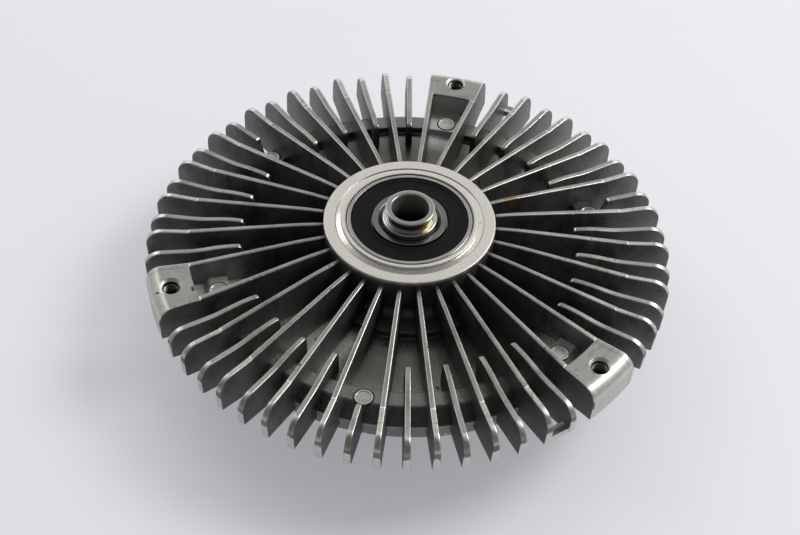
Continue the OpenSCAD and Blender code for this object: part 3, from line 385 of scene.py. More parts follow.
def cast_aluminium(name):
    """Dull die-cast skin, bright where it was turned or rubbed, with painted light, glints and
    shade in places.
    """
    finish = Finish(name)
    step, band, most = finish.step, finish.band, finish.most
    x, y, z = finish.axes()
    radius, depth = finish.polar()
    turn = finish.turn()
    normal_x, normal_y, up = finish.axes(finish.normal)
    outward = (normal_x * x + normal_y * y) / (radius * MM)
    facing_up = step(up, 0.45, 0.9)
    facing_out = step(outward, 0.3, 0.6)
    facing_in = 1 - step(outward, -0.8, -0.5)
    edge = band(up, 0.25, 0.955, 0.03)

    # Uneven patterns of the skin and of the tools
    grain = finish.noise(900.0, 4.0, 0.65)
    blotch = finish.noise(75.0, 6.0, 0.68)
    drift = finish.noise(20.0, 4.0, 0.6)
    drag = finish.noise(1.0, 4.0, 0.62, finish.vector(x * 420, y * 420, z * 110))
    smear = finish.noise(1.0, 5.0, 0.65, finish.vector(radius * 0.55, turn * 11, 0.0))
    pits = step(finish.noise(1500.0, 2.0, 0.5), 0.69, 0.75)
    pores = step(finish.noise(330.0, 2.0, 0.5), 0.72, 0.75)
    specks = step(finish.noise(700.0, 2.0, 0.5), 0.66, 0.72)
    rings = finish.turning_lines(0.12)

    # Faces that are turned, tapped or rubbed, with painted glints and painted shade on some of
    # them
    flange = band(radius, STAKE_IN - 0.95, HUB + 0.3, 0.05) * (1 - step(depth, -8.0, -7.0))
    bead = band(radius, STAKE_OUT + 0.05, FLANGE_IN + 0.2, 0.1) * flange
    # painted shade in the corners at the inner edge of the flange face and at the stake
    corners = most(
        band(radius, FLANGE_IN - 0.15, FLANGE_IN + 0.2, 0.08),
        1 - step(radius, STAKE_IN + 0.15, STAKE_IN + 0.55),
    )
    land = band(depth, -0.12, 0.12, 0.06) * step(radius, LAND_IN - 0.3, LAND_IN) * facing_up
    # painted glint on the small step where the faced land begins
    step_glint = band(radius, LAND_IN - 0.5, LAND_IN + 0.05, 0.06)
    step_glint = step_glint * (1 - step(depth, 0.4, 0.8)) * step(up, 0.5, 0.7)
    boss_angle = finish.nearest(turn, BOSS_ANGLES)
    on_boss = 1 - step(boss_angle, math.radians(6.3), math.radians(6.6))
    screw_reach = finish.reach(boss_angle, radius, SCREW_CIRCLE)
    # painted shade inside the screw holes
    hole = (1 - step(screw_reach, SCREW + 0.05, SCREW + 0.12)) * step(depth, 0.7, 1.0)
    countersink = 1 - step(screw_reach, SCREW + 0.9, SCREW + 1)
    countersink = countersink * band(depth, 0.05, SCREW_CHAMFER, 0.04)
    # painted glint on the upper part of the rounding at the fin tips
    rounding = band(radius, FIN_TIP - 5.5, FIN_TIP - 2.9, 0.7) * facing_up
    rounding = rounding * (0.4 + blotch) * (1 - 0.8 * on_boss)
    fin_end = step(radius, FIN_TIP - 1.9, FIN_TIP - 1.1)
    fin_end = fin_end * step(depth + (drag - 0.5) * 4, 6.6, 7.6)
    boss_end = on_boss * step(depth, 2.2, 4.0) * step(radius, FIN_TIP - 5.5, FIN_TIP - 3.5)
    ends = most(fin_end, boss_end) * facing_out
    off_hub = step(radius, HUB + 0.5, HUB + 2)
    worn = facing_up * (1 - step(depth, 1.7, 2.6)) * off_hub
    rubbed = edge * (1 - step(depth, 3.0, 7.0)) * off_hub

    # Faces that stay as cast, with painted light and painted shade on some of them
    pad_reach = finish.reach(finish.nearest(turn, PAD_ANGLES), radius, PAD_CIRCLE)
    pad_level = band(depth, RAISED - 0.5, RAISED + 0.4, 0.05)
    pad = (1 - step(pad_reach, PAD - 0.1, PAD + 0.1)) * pad_level * facing_up
    # painted highlight round the edge of each pad
    pad_rim = band(pad_reach, PAD - 0.8, PAD - 0.1, 0.1) * pad_level
    # painted shade in the groove round each pad
    pad_groove = band(pad_reach, PAD, PAD + GROOVE + 0.05, 0.06)
    pad_groove = pad_groove * band(depth, RAISED - 0.4, RAISED + 0.7, 0.1)
    bottom = band(radius, FOOT - 1, RAISED_OUT + 0.4, 0.3)
    bottom = bottom * step(depth, RAISED - 0.9, RAISED - 0.1) * step(up, 0.3, 0.6)
    # painted shade on the slope from the raised ring down to the rim
    slope = band(radius, RAISED_OUT + 0.2, RIM - 0.3, 0.3)
    slope = slope * step(depth, RAISED + 0.1, RAISED + 0.7) * step(up, 0.2, 0.5)
    # painted light: the floor and inner walls of the pockets beside the screw bosses are pale
    # and less metallic, as if lit
    lit_pocket = step(radius, 56.0, 65.0) * (1 - step(radius, LAND_IN + 0.2, LAND_IN + 0.5))
    lit_pocket = lit_pocket * step(depth, 0.3, 1.0) * on_boss * most(facing_up, facing_in)
    # painted highlight along the top edge of the rim
    lip = band(radius, RIM - 0.9, RIM + 0.2, 0.15)
    lip = lip * band(depth, RIM_TOP - 0.1, RIM_TOP + 0.6, 0.15)
    wall = band(radius, RIM - 0.4, RIM + 0.2, 0.1) * step(depth, RIM_TOP - 0.2, RIM_TOP + 0.4)
    crumbs = step(finish.noise(520.0, 1.0, 0.5), 0.66, 0.70) * wall * step(depth, 15.2, 16.2)
    # painted light: a pool of light on the floor at one place between the fins
    lit_patch = finish.distance(LIT_PATCH_PLACE) + (drag - 0.5) * 8 * MM
    lit_patch = (1 - step(lit_patch, 8 * MM, 20 * MM)) * step(depth, 8.0, 9.0) * facing_up
    stain = 1 - step(finish.distance(STAIN_PLACE), 0.5 * MM, 4.5 * MM)

    skin = finish.layers(
        finish.mix(step(blotch, 0.32, 0.68), SKIN_DARK, SKIN_PALE),
        (step(drag, 0.42, 0.72) * 0.3, SKIN_DRAGGED),
        (step(drift, 0.42, 0.66) * 0.45, SKIN_OILY),
        # painted light and shade: the skin is lighter towards the fin tips and darker deep in
        # the channels near the hub
        (step(radius, 64.0, 92.0) * 0.2, SKIN_TIPS_PAINTED_LIGHT),
        (0.4 - 0.4 * step(radius, 48.0, 74.0), SKIN_HUB_PAINTED_SHADE),
        # the floor between the fins is darker: partly a darker casting, partly painted shade
        (bottom * (0.5 + 0.45 * drift), FLOOR_DARK_AND_SHADE),
        (bottom * step(radius, 56.0, 70.0) * (0.2 + 0.5 * blotch), FLOOR_PALE),
        (slope * 0.45, SLOPE_PAINTED_SHADE),
        (lit_patch * (0.65 + 0.5 * grain), FLOOR_PAINTED_LIGHT),
        (wall * 0.6, WALL_GREY),
        (lit_pocket * 0.85, POCKET_PAINTED_LIGHT),
    )
    metal = finish.mix(grain, METAL_DULL, METAL_BRIGHT)
    metal = finish.mix(step(smear, 0.5, 0.72) * land * 0.7, metal, METAL_SMEARED)
    colour = finish.layers(
        skin,
        (worn * (0.05 + 0.5 * blotch), metal),
        (rubbed * (0.55 + 0.6 * drag), metal),
        (most(land * (0.5 + 0.1 * on_boss), flange), metal),
        # turned fin and boss ends, and the painted glint on the tip rounding
        (most(ends * (1 - 0.15 * on_boss), rounding), METAL_TURNED_AND_GLINT),
        (land * on_boss * 0.5, BOSS_GREY),
        # pads a little lighter, and the painted highlight on the rim's top edge
        (most(pad * 0.55, lip * 0.45), metal),
        # painted highlight on the pads' rims
        (pad_rim * 0.4, METAL_TURNED_AND_GLINT),
        (most(hole, pad_groove) * 0.9, HOLE_PAINTED_SHADE),
        (countersink * 0.8, COUNTERSINK_BRIGHT),
        (step_glint * 0.9, STEP_GLINT_WHITE),
        (most(pits * 0.65, pores * 0.9) * (1 - flange), PORE_DARK),
        (stain * 0.75, STAIN_BROWN),
        (specks * flange * 0.4, SPECK_DULL),
        (corners * flange * 0.65, CORNER_PAINTED_SHADE),
        (crumbs, CRUMB_WHITE),
    )

    bright = most(flange, land, countersink, ends)
    rough = 0.45 + (blotch - 0.5) * 0.4 + (drag - 0.5) * 0.25
    rough = rough - rubbed * 0.14 - bead * 0.31 - bottom * 0.2 - slope * 0.15
    rough = rough + on_boss * step(radius, FIN_TIP - 7.5, FIN_TIP - 4.5) * 0.14
    rough = rough + (rings - 0.5) * 0.18 * bright * (1 - bead)
    height = grain * (1 - bright * 0.8) + blotch * 0.8 + drag * 0.4
    height = height + rings * 0.5 * bright - pits * 2.5 - pores * 3
    inner_corner = band(depth, RAISED - 1.1, RIM_TOP + 3.5, 0.7)
    inner_corner = inner_corner * (1 - step(radius, RIM - 2.2, RIM - 1.2))
    rounded = finish.mix(inner_corner, finish.rounded(), finish.normal)
    return finish.use(
        Base_Color=colour,
        Metallic=0.72 + bottom * 0.1 - lit_pocket * 0.55 + most(bright, rubbed) * 0.28,
        Roughness=rough,
        Normal=finish.bump(height, 0.06, 0.55, rounded),
    )


def ring_lands(first, foot, top):
    """Corners of the labyrinth's ring lands from a first one outwards, between two depths."""
    corners = []
    for k in range(first, LAND_COUNT - 1):
        inner = LAND_FIRST + k * LAND_PITCH + LAND_WIDTH + RUN_GAP
        outer = inner + LAND_WIDTH
        corners += [(inner, foot, 0), (inner, top, 0), (outer, top, 0), (outer, foot, 0)]
    return corners


housing_finish = cast_aluminium("cast_aluminium")
housing = turned(
    [
        (BEARING, STAKE_UNDER, 0),
        (STAKE_IN, STAKE_UNDER - 0.61, 0.08),
        (STAKE_IN, STAKE_TOP, 0.15),
        (STAKE_OUT, STAKE_TOP, 0.2),
        (STAKE_OUT + 0.2, STAKE_TOP + 0.8, 0.15),
        (FLANGE_IN, FLANGE_TOP + 0.25, 0.1),
        (FLANGE_IN, FLANGE_TOP, 0.1),
        (HUB, FLANGE_TOP, 0.4),
        (HUB, FOOT_DEPTH, 3.3),
        (FOOT - 0.6, FOOT_DEPTH + 0.2, 0.5),
        (FOOT, FLOOR, 0.4),
        (RAISED_IN - 0.4, FLOOR, 0.5),
        (RAISED_IN, RAISED, 0.4),
        (RAISED_OUT, RAISED, 0.8),
        (RIM - 1, RIM_TOP - 1, 0.5),
        (RIM, RIM_TOP, 0.4),
        (RIM, RIM_DEPTH, 0.3),
        (CRIMP + 1.1, CRIMP_DEPTH + 1.1, 0.5),
        (CRIMP - 1.5, CRIMP_DEPTH + 1.1, 0.3),
        (CRIMP - 1.5, CRIMP_DEPTH, 0),
        (CRIMP, CRIMP_DEPTH, 0),
        (CRIMP, COVER_STOP, 0),
        (CHAMBER, COVER_STOP, 0),
        (CHAMBER, CHAMBER_DEPTH, 0),
    ]
    + ring_lands(0, CHAMBER_DEPTH, CHAMBER_DEPTH + LAND_HEIGHT)[::-1]
    + [
        (FOOT + WALL, CHAMBER_DEPTH, 0),
        (HUB + WALL, FOOT_DEPTH + WALL, 0),
        (SHOULDER + WALL, SHOULDER_DEPTH + 0.2, 0),
        (SHOULDER, SHOULDER_DEPTH, 0),
        (SHOULDER, BEARING_FRONT, 0),
        (BEARING, BEARING_FRONT, 0),
    ]
)

# Cooling fins
# Long fins run from the hub to the tips, and a short fin stands between each two. They are
# cast in one with the housing and taper with the die's draft. The long fins' outer tops are
# faced level with the screw bosses.
FIN_TOP = 1.95
FIN_DRAFT = math.tan(math.radians(2))
FIN_EDGE = 0.36
FIN_DEPTH = 13.4
FIN_ROOT = 15.4
FIN_SINK = FLOOR + 1.6
TIP_ROUND = 6.0
TIP_LEAN = 0.4
LONG_PITCH = 12
LONG_COUNT = 30
LONG_HEEL = -6.0
LONG_BEND = 40.0
LONG_BEND_TOP = -5.2
SHORT_START = 60.4
SHORT_HEEL = -0.15
SHORT_BEND = 67.0
SHORT_FLAT = 77.0
SHORT_TOP = 1.5
STUB_FOOT = 74.9
STUB_START = 78.1


def fin(corners, thickness=FIN_TOP, level=0.0, draft=FIN_DRAFT):
    """Radial fin of a side outline, of a thickness at a depth, with draft and rounded edges."""
    mesh = bmesh.new()
    side = outline(mesh, corners)
    other = bmesh.ops.extrude_face_region(mesh, geom=side)["geom"]
    far = {item for item in other if isinstance(item, bmesh.types.BMVert)}
    for vert in mesh.verts:
        depth = (LAND - vert.co.z) / MM
        half = (thickness / 2 + draft * (depth - level)) * MM
        vert.co.y = half if vert in far else -half
    bmesh.ops.recalc_face_normals(mesh, faces=mesh.faces[:])
    edges = [e for e in mesh.edges if len({abs(f.normal.y) > 0.9 for f in e.link_faces}) == 2]
    round_off(mesh, edges, FIN_EDGE, 3)
    return mesh


fin_root = [
    (FIN_TIP, SHORT_TOP + TIP_ROUND + 0.1, 0),
    (FIN_TIP - TIP_LEAN, FIN_DEPTH, 0.6),
    (RIM - 1, FIN_ROOT, 0),
    (RIM - 1, RIM_TOP, 0),
]
long_fin = fin(
    [
        (HUB - 2, LONG_HEEL, 0),
        (LONG_BEND, LONG_BEND_TOP, 1.9),
        (LAND_IN - 0.35, -0.25, 0),
        (LAND_IN, 0, 0),
        (FIN_TIP, 0, TIP_ROUND),
    ]
    + fin_root
    + [(RAISED_OUT, FIN_SINK, 0), (FOOT, FIN_SINK, 0), (HUB - 2, FOOT_DEPTH, 0)]
)
short_fin = fin(
    [
        (SHORT_START, FIN_SINK, 0),
        (SHORT_START, SHORT_HEEL, 1.5),
        (SHORT_BEND, SHORT_HEEL + 0.05, 3),
        (SHORT_FLAT, SHORT_TOP, 3),
        (FIN_TIP, SHORT_TOP, TIP_ROUND),
    ]
    + fin_root
    + [(RAISED_OUT, FIN_SINK, 0)]
)
stub_fin = fin(
    [
        (STUB_FOOT, FIN_SINK, 0),
        (STUB_START, SHORT_TOP + 0.1, 0.8),
        (FIN_TIP, SHORT_TOP, TIP_ROUND),
    ]
    + fin_root
)

# Screw bosses, webs and pads
# Three blocks of the casting fill the space between two long fins, and are faced and drilled
# for the fan's screws. A web ties the fins beside each, and round pads mark the ejector pins
# of the die.
BOSS_FLOOR = 9.4
WEB = 91.0
WEB_HEIGHT = 2.6
PAD_HEIGHT = 0.2
PAD_DISH = 0.25
AXIS = 0.001
SMALL_STEPS = 64


def sector(corners, start, end, steps):
    """Closed part-turn solid of an outline, between two angles."""
    mesh = bmesh.new()
    outline(mesh, corners)
    bmesh.ops.delete(mesh, geom=mesh.faces[:], context="FACES_ONLY")
    bmesh.ops.rotate(
        mesh,
        verts=mesh.verts[:],
        cent=(0, 0, 0),
        matrix=Matrix.Rotation(math.radians(start), 3, "Z"),
    )
    spin(mesh, math.radians(end - start), steps)
    close(mesh, True)
    return mesh


def line(mesh, places):
    """Edges through places of a half section, each a radius and a depth."""
    points = [mesh.verts.new(at(radius, depth)) for radius, depth in places]
    for first, second in zip(points, points[1:]):
        mesh.edges.new((first, second))


def cut(mesh, cutter):
    """What is left of a closed mesh when a closed cutter is taken away."""
    objects = []
    for source in (mesh, cutter):
        data = bpy.data.meshes.new("cut")
        source.to_mesh(data)
        objects.append(bpy.data.objects.new("cut", data))
        bpy.context.scene.collection.objects.link(objects[-1])
    taken = objects[0].modifiers.new("taken", "BOOLEAN")
    taken.operation = "DIFFERENCE"
    taken.solver = "EXACT"
    taken.object = objects[1]
    graph = bpy.context.evaluated_depsgraph_get()
    left = bpy.data.meshes.new_from_object(objects[0].evaluated_get(graph))
    result = bmesh.new()
    result.from_mesh(left)
    for leftover in objects:
        data = leftover.data
        bpy.data.objects.remove(leftover)
        bpy.data.meshes.remove(data)
    bpy.data.meshes.remove(left)
    return result


boss_half = LONG_PITCH / 2 + math.degrees(FIN_TOP / 2 / SCREW_CIRCLE) + 0.04
boss = sector(
    [
        (LAND_IN, -0.02, 0.25),
        (FIN_TIP + 0.03, -0.02, TIP_ROUND),
        (FIN_TIP - TIP_LEAN + 0.03, FIN_DEPTH, 0.5),
        (RAISED_OUT, FIN_DEPTH, 0),
        (RAISED_OUT, BOSS_FLOOR, 0),
        (LAND_IN, BOSS_FLOOR, 1.2),
    ],
    -boss_half,
    boss_half,
    24,
)
for vert in boss.verts:
    side = math.degrees(math.atan2(vert.co.y, vert.co.x))
    if abs(side) > boss_half - 0.01:
        lean = FIN_DRAFT * (LAND - vert.co.z) / vert.co.x
        turn = Matrix.Rotation(math.copysign(lean, side), 3, "Z")
        vert.co = turn @ vert.co
drill = bmesh.new()
line(drill, [(SCREW + SCREW_CHAMFER + 2, -2), (SCREW, SCREW_CHAMFER), (SCREW, FIN_DEPTH + 4)])
spin(drill, math.tau, SMALL_STEPS, use_merge=True)
close(drill, True)
bmesh.ops.translate(drill, verts=drill.verts[:], vec=(SCREW_CIRCLE * MM, 0, 0))
boss = cut(boss, drill)

web = sector(
    [
        (WEB, FIN_DEPTH - WEB_HEIGHT, 0.6),
        (FIN_TIP - 0.5, FIN_DEPTH - WEB_HEIGHT, 0.3),
        (FIN_TIP - 0.6, FIN_DEPTH, 0.3),
        (WEB, FIN_DEPTH, 0.4),
    ],
    0,
    LONG_PITCH / 2,
    8,
)
pad = turned(
    [
        (AXIS, RAISED + 2, 0),
        (AXIS, RAISED - PAD_HEIGHT + PAD_DISH, 0),
        (PAD - 0.85, RAISED - PAD_HEIGHT + PAD_DISH, 0.15),
        (PAD - 0.6, RAISED - PAD_HEIGHT, 0.1),
        (PAD, RAISED - PAD_HEIGHT, 0.12),
        (PAD, RAISED + 2, 0),
    ],
    SMALL_STEPS,
)
groove = turned(
    [
        (PAD, RAISED + GROOVE, 0),
        (PAD + GROOVE, RAISED + GROOVE, 0),
        (PAD + GROOVE, RAISED - 1, 0),
        (PAD, RAISED - 1, 0),
    ],
    SMALL_STEPS,
)
for mesh in (pad, groove):
    bmesh.ops.translate(mesh, verts=mesh.verts[:], vec=(PAD_CIRCLE * MM, 0, 0))
grooves = bmesh.new()
for angle in PAD_ANGLES:
    add_copy(grooves, groove, angle)
housing = cut(housing, grooves)
for angle in BOSS_ANGLES:
    add_copy(housing, boss, angle)
    add_copy(housing, web, angle - 1.5 * LONG_PITCH)
for angle in PAD_ANGLES:
    add_copy(housing, pad, angle)
for i in range(LONG_COUNT):
    add_copy(housing, long_fin, i * LONG_PITCH)
    middle = (i + 0.5) * LONG_PITCH
    if middle in STUB_ANGLES:
        add_copy(housing, stub_fin, middle)
    elif middle not in BOSS_ANGLES:
        add_copy(housing, short_fin, middle)
piece("finned_housing", housing, housing_finish, "housing_body", ["housing"])

# Screw threads
# The bosses are tapped M6 for the fan's screws, so a spiral ridge of bare aluminium runs down
# each hole. The crests near its mouth carry a painted highlight, and the flanks and deeper
# turns are painted near black as shade.
THREAD_PITCH = 1.0
THREAD_HEIGHT = 0.5
THREAD_TURNS = 11
THREAD_START = SCREW_CHAMFER + 0.1
THREAD_STEPS = 32

thread_finish = Finish("tapped_thread", Metallic=1.0)
thread_grain = thread_finish.noise(700.0, 3.0)
thread_radius, thread_depth = thread_finish.polar()
thread_angle = thread_finish.nearest(thread_finish.turn(), BOSS_ANGLES)
thread_reach = thread_finish.reach(thread_angle, thread_radius, SCREW_CIRCLE)
thread_rise = (SCREW - thread_reach) / THREAD_HEIGHT
# painted light and shade: crests bright near the mouth, flanks and deeper turns near black
thread_lit_crest = thread_finish.step(thread_rise, 0.7, 0.95)
thread_lit_crest = thread_lit_crest * (1 - thread_finish.step(thread_depth, 2.0, 6.0))
thread_metal = thread_finish.mix(thread_grain, (0.62, 0.58, 0.48, 1), (0.86, 0.82, 0.72, 1))
thread_metal = thread_finish.mix(thread_lit_crest, (0.03, 0.028, 0.024, 1), thread_metal)
thread_finish.use(Base_Color=thread_metal, Roughness=0.22 + thread_grain * 0.2)
thread = bmesh.new()
line(
    thread,
    [
        (SCREW + 0.02, THREAD_START),
        (SCREW - THREAD_HEIGHT, THREAD_START + 0.4 * THREAD_PITCH),
        (SCREW - THREAD_HEIGHT, THREAD_START + 0.52 * THREAD_PITCH),
        (SCREW + 0.02, THREAD_START + 0.92 * THREAD_PITCH),
    ],
)
thread_drop = (0, 0, -THREAD_PITCH / THREAD_STEPS * MM)
spin(thread, math.tau * THREAD_TURNS, THREAD_STEPS * THREAD_TURNS, dvec=thread_drop)
bmesh.ops.recalc_face_normals(thread, faces=thread.faces[:])
bmesh.ops.translate(thread, verts=thread.verts[:], vec=(SCREW_CIRCLE * MM, 0, 0))
threads = bmesh.new()
for angle in BOSS_ANGLES:
    add_copy(threads, thread, angle)
piece("screw_threads", threads, thread_finish.material, "housing_body", ())

# Ball bearing
# A sealed deep groove ball bearing sits in the hub and is held by the staked lip. Its rings and
# balls are ground steel, its cage is steel sheet, and black rubber seals close both sides.
RING = 23.5
RING_REAR = -9.7
SEAL_OUT = 21.2
SEAL_IN = 13.5
BORE = 10.0
LAND_INNER = 14.33
LAND_OUTER = 19.17
PITCH = 16.75
RACE = 4.02
RACE_STEPS = 8
SEAL_DEPTH = 1.9


def ground_steel(name, light, dark, pitch, roughness):
    """Metal ground or turned round the axis."""
    finish = Finish(name, Metallic=1.0)
    rings = finish.turning_lines(pitch)
    film = finish.noise(140.0, 4.0, 0.6)
    colour = finish.mix(film, dark, light)
    rough = roughness + (rings - 0.5) * 0.16 + (film - 0.5) * 0.12
    return finish.use(Base_Color=colour, Roughness=rough, Normal=finish.bump(rings, 0.006, 0.5))


def race_arc(centre, inner):
    """Corners along the half round race of a ring, from its rear edge to its front edge."""
    land = LAND_INNER if inner else LAND_OUTER
    sign = -1 if inner else 1
    reach = math.acos(sign * (land - PITCH) / RACE)
    points = []
    for i in range(RACE_STEPS + 1):
        angle = reach * (2 * i / RACE_STEPS - 1)
        radius = PITCH + sign * RACE * math.cos(angle)
        points.append((radius, centre + RACE * math.sin(angle), 0))
    return points


bearing_finish = ground_steel(
    "ground_bearing_steel", (0.46, 0.447, 0.41, 1), (0.24, 0.232, 0.21, 1), 0.1, 0.16
)
# the inner ring uses a darker copy of the bearing steel as painted shade
inner_finish = ground_steel(
    "shaded_inner_ring_steel", (0.24, 0.236, 0.222, 1), (0.11, 0.108, 0.10, 1), 0.1, 0.2
)
bearing_mid = (RING_REAR + BEARING_FRONT) / 2
outer_ring = turned(
    [
        (SEAL_OUT, RING_REAR, 0.15),
        (RING - 1, RING_REAR, 0.15),
        (RING, RING_REAR + 1, 0.2),
        (RING, BEARING_FRONT - 1, 0.2),
        (RING - 1, BEARING_FRONT, 0.15),
        (SEAL_OUT, BEARING_FRONT, 0.15),
        (SEAL_OUT, BEARING_FRONT - SEAL_DEPTH, 0),
        (LAND_OUTER, BEARING_FRONT - SEAL_DEPTH, 0),
    ]
    + race_arc(bearing_mid, False)[::-1]
    + [(LAND_OUTER, RING_REAR + SEAL_DEPTH, 0), (SEAL_OUT, RING_REAR + SEAL_DEPTH, 0)]
)
inner_ring = turned(
    [
        (BORE, RING_REAR + 1.5, 0.2),
        (BORE + 1.5, RING_REAR, 0.2),
        (SEAL_IN, RING_REAR, 0.15),
        (SEAL_IN, RING_REAR + SEAL_DEPTH, 0),
        (LAND_INNER, RING_REAR + SEAL_DEPTH, 0),
    ]
    + race_arc(bearing_mid, True)
    + [
        (LAND_INNER, BEARING_FRONT - SEAL_DEPTH, 0),
        (SEAL_IN, BEARING_FRONT - SEAL_DEPTH, 0),
        (SEAL_IN, BEARING_FRONT, 0.15),
        (BORE + 1, BEARING_FRONT, 0.15),
        (BORE, BEARING_FRONT - 1, 0.15),
    ]
)
for name, node, mesh, finish, body in (
    ("outer_ring", "bearing_outer_ring", outer_ring, bearing_finish, "housing_body"),
    ("inner_ring", "bearing_inner_ring", inner_ring, inner_finish, "input_shaft"),
):
    piece(name, mesh, finish, body, [node])


def dress(node, material):
    """Gives a finish to a CAD node that stays as it is."""
    data = frame["nodes"][node].data
    data.materials.clear()
    data.materials.append(material)


spring_finish = ground_steel(
    "spring_steel", (0.24, 0.24, 0.245, 1), (0.13, 0.13, 0.132, 1), 0.3, 0.38
)
dress("bearing_balls", bearing_finish)
dress("bearing_cage", spring_finish)


def rubber(name):
    """Moulded black rubber with a dusty film."""
    finish = Finish(name, Metallic=0.0, Specular_IOR_Level=0.08)
    fine = finish.noise(2600.0, 3.0, 0.6)
    film = finish.noise(170.0, 5.0, 0.65)
    dust = finish.step(finish.noise(3200.0, 1.0, 0.4), 0.74, 0.80)
    colour = finish.mix(film, (0.006, 0.006, 0.0059, 1), (0.013, 0.0128, 0.0125, 1))
    colour = finish.mix(dust * 0.5, colour, (0.20, 0.19, 0.175, 1))
    rough = 0.42 + film * 0.2
    return finish.use(Base_Color=colour, Roughness=rough, Normal=finish.bump(fine, 0.02, 0.4))


rubber_finish = rubber("black_rubber")


def seal_corners(face, back):
    """Outline of a bearing seal, with a shallow groove in its face."""
    groove = face + 0.25 * (1 if back > face else -1)
    inner = SEAL_IN + 0.4
    outer = SEAL_OUT - 0.02
    return [
        (inner, back, 0),
        (inner, face, 0.25),
        (inner + 1.4, face, 0.2),
        (inner + 1.65, groove, 0.15),
        (outer - 1.65, groove, 0.15),
        (outer - 1.4, face, 0.2),
        (outer, face, 0.2),
        (outer, back, 0),
    ]


for name, node, face, back in (
    ("rear_seal", "bearing_rear_seal", RING_REAR + 0.35, RING_REAR + 1.65),
    ("front_seal", "bearing_front_seal", BEARING_FRONT - 0.35, BEARING_FRONT - 1.65),
):
    seal = turned(seal_corners(face, back))
    piece(name, seal, rubber_finish, "housing_body", [node])

# Input shaft
# The hollow steel shaft is pressed into the bearing. Its rear end has a neck and a head that
# meet the water pump, and the centre bolt goes through its bore from a well at the front.
JOURNAL = 9.98
NECK = 8.35
NECK_END = -10.6
HEAD = 8.9
HEAD_TOP = -15.2
BOLT_BORE = mounts["centre_bolt_bore"]["dims"]["r_mm"]
COLLAR = 13.0
ROTOR_STOP = 15.5
ROTOR_REAR = 8.6
SHAFT = 13.5
SHAFT_END = 33.0
RING_GROOVE = 0.9
WELL = 9.75
WELL_END = 18.0
ROTOR_FRONT = 20.5

shaft_finish = Finish("turned_shaft_steel")
shaft_x, shaft_y, shaft_z = shaft_finish.axes()
shaft_radius, shaft_depth = shaft_finish.polar()
shaft_rings = shaft_finish.turning_lines(0.14)
shaft_film = shaft_finish.noise(120.0, 4.0, 0.6)
shaft_drawn = shaft_finish.vector(shaft_x * 900, shaft_y * 900, shaft_z * 60)
shaft_drag = shaft_finish.noise(1.0, 3.0, 0.6, shaft_drawn)
shaft_outside = shaft_finish.step(shaft_radius, BOLT_BORE + 0.1, BOLT_BORE + 0.3)
shaft_bore = 1 - shaft_outside
shaft_face = shaft_finish.band(shaft_depth, HEAD_TOP - 0.1, HEAD_TOP + 0.06, 0.03)
shaft_face = shaft_face * (1 - shaft_finish.step(shaft_radius, HEAD - 0.6, HEAD - 0.4))
shaft_neck = shaft_finish.band(shaft_depth, HEAD_TOP + 1.2, NECK_END - 1.4, 0.3)
shaft_tint = shaft_finish.band(shaft_depth, HEAD_TOP + 1.2, NECK_END + 0.2, 0.2)
shaft_tint = shaft_tint * shaft_finish.step(shaft_x, 2 * MM, 6 * MM)
shaft_tint = shaft_tint * shaft_finish.step(shaft_film, 0.3, 0.55)
shaft_colour = shaft_finish.layers(
    shaft_finish.mix(shaft_film, (0.42, 0.415, 0.40, 1), (0.62, 0.61, 0.59, 1)),
    (shaft_outside * shaft_face * 0.55, (0.12, 0.115, 0.10, 1)),
    # painted shade on the neck under the head
    (shaft_outside * shaft_neck * 0.85, (0.13, 0.125, 0.115, 1)),
    (shaft_outside * shaft_tint * 0.65, (0.55, 0.43, 0.19, 1)),
    (shaft_bore * (0.4 + shaft_drag * 0.6), (0.25, 0.23, 0.18, 1)),
    # painted shade: the bore turns near black deeper down
    (shaft_bore * shaft_finish.step(shaft_depth, -12.5, -3.0), (0.01, 0.01, 0.01, 1)),
)
shaft_finish.use(
    Base_Color=shaft_colour,
    Metallic=1 - shaft_bore * 0.5,
    Roughness=0.19 + (shaft_rings - 0.5) * 0.14 + (shaft_film - 0.5) * 0.14 + shaft_bore * 0.25,
    Normal=shaft_finish.bump(shaft_rings, 0.008, 0.5),
)
shaft = turned(
    [
        (BOLT_BORE, HEAD_TOP + 0.3, 0.1),
        (BOLT_BORE + 0.35, HEAD_TOP, 0.1),
        (HEAD, HEAD_TOP, 0.35),
        (HEAD, HEAD_TOP + 0.85, 0.15),
        (NECK, HEAD_TOP + 1.4, 0.2),
        (NECK, NECK_END, 0.35),
        (JOURNAL, NECK_END, 0.6),
        (JOURNAL, BEARING_FRONT, 0),
        (COLLAR, BEARING_FRONT, 0),
        (COLLAR, BEARING_FRONT + 1.2, 0),
        (ROTOR_STOP, BEARING_FRONT + 1.2, 0),
        (ROTOR_STOP, ROTOR_REAR, 0),
        (SHAFT, ROTOR_REAR, 0),
        (SHAFT, ROTOR_FRONT, 0),
        (SHAFT - RING_GROOVE, ROTOR_FRONT, 0),
        (SHAFT - RING_GROOVE, ROTOR_FRONT + 1.45, 0),
        (SHAFT, ROTOR_FRONT + 1.45, 0),
        (SHAFT, SHAFT_END, 0.5),
        (WELL, SHAFT_END, 0.5),
        (WELL, WELL_END, 0.3),
        (BOLT_BORE, WELL_END, 0.3),
    ]
)
piece("input_shaft", shaft, shaft_finish.material, "input_shaft", ["hub_shaft"])

# Rotor and retaining ring
# The rotor is a turned aluminium disc on the shaft, with ring lands on both faces that run
# between those of housing and cover. A ring of hard spring steel holds it on the shaft.
rotor_finish = ground_steel(
    "turned_aluminium", (0.76, 0.76, 0.745, 1), (0.58, 0.58, 0.57, 1), 0.2, 0.3
)
dress("rotor", rotor_finish)
dress("rotor_retaining_ring", spring_finish)

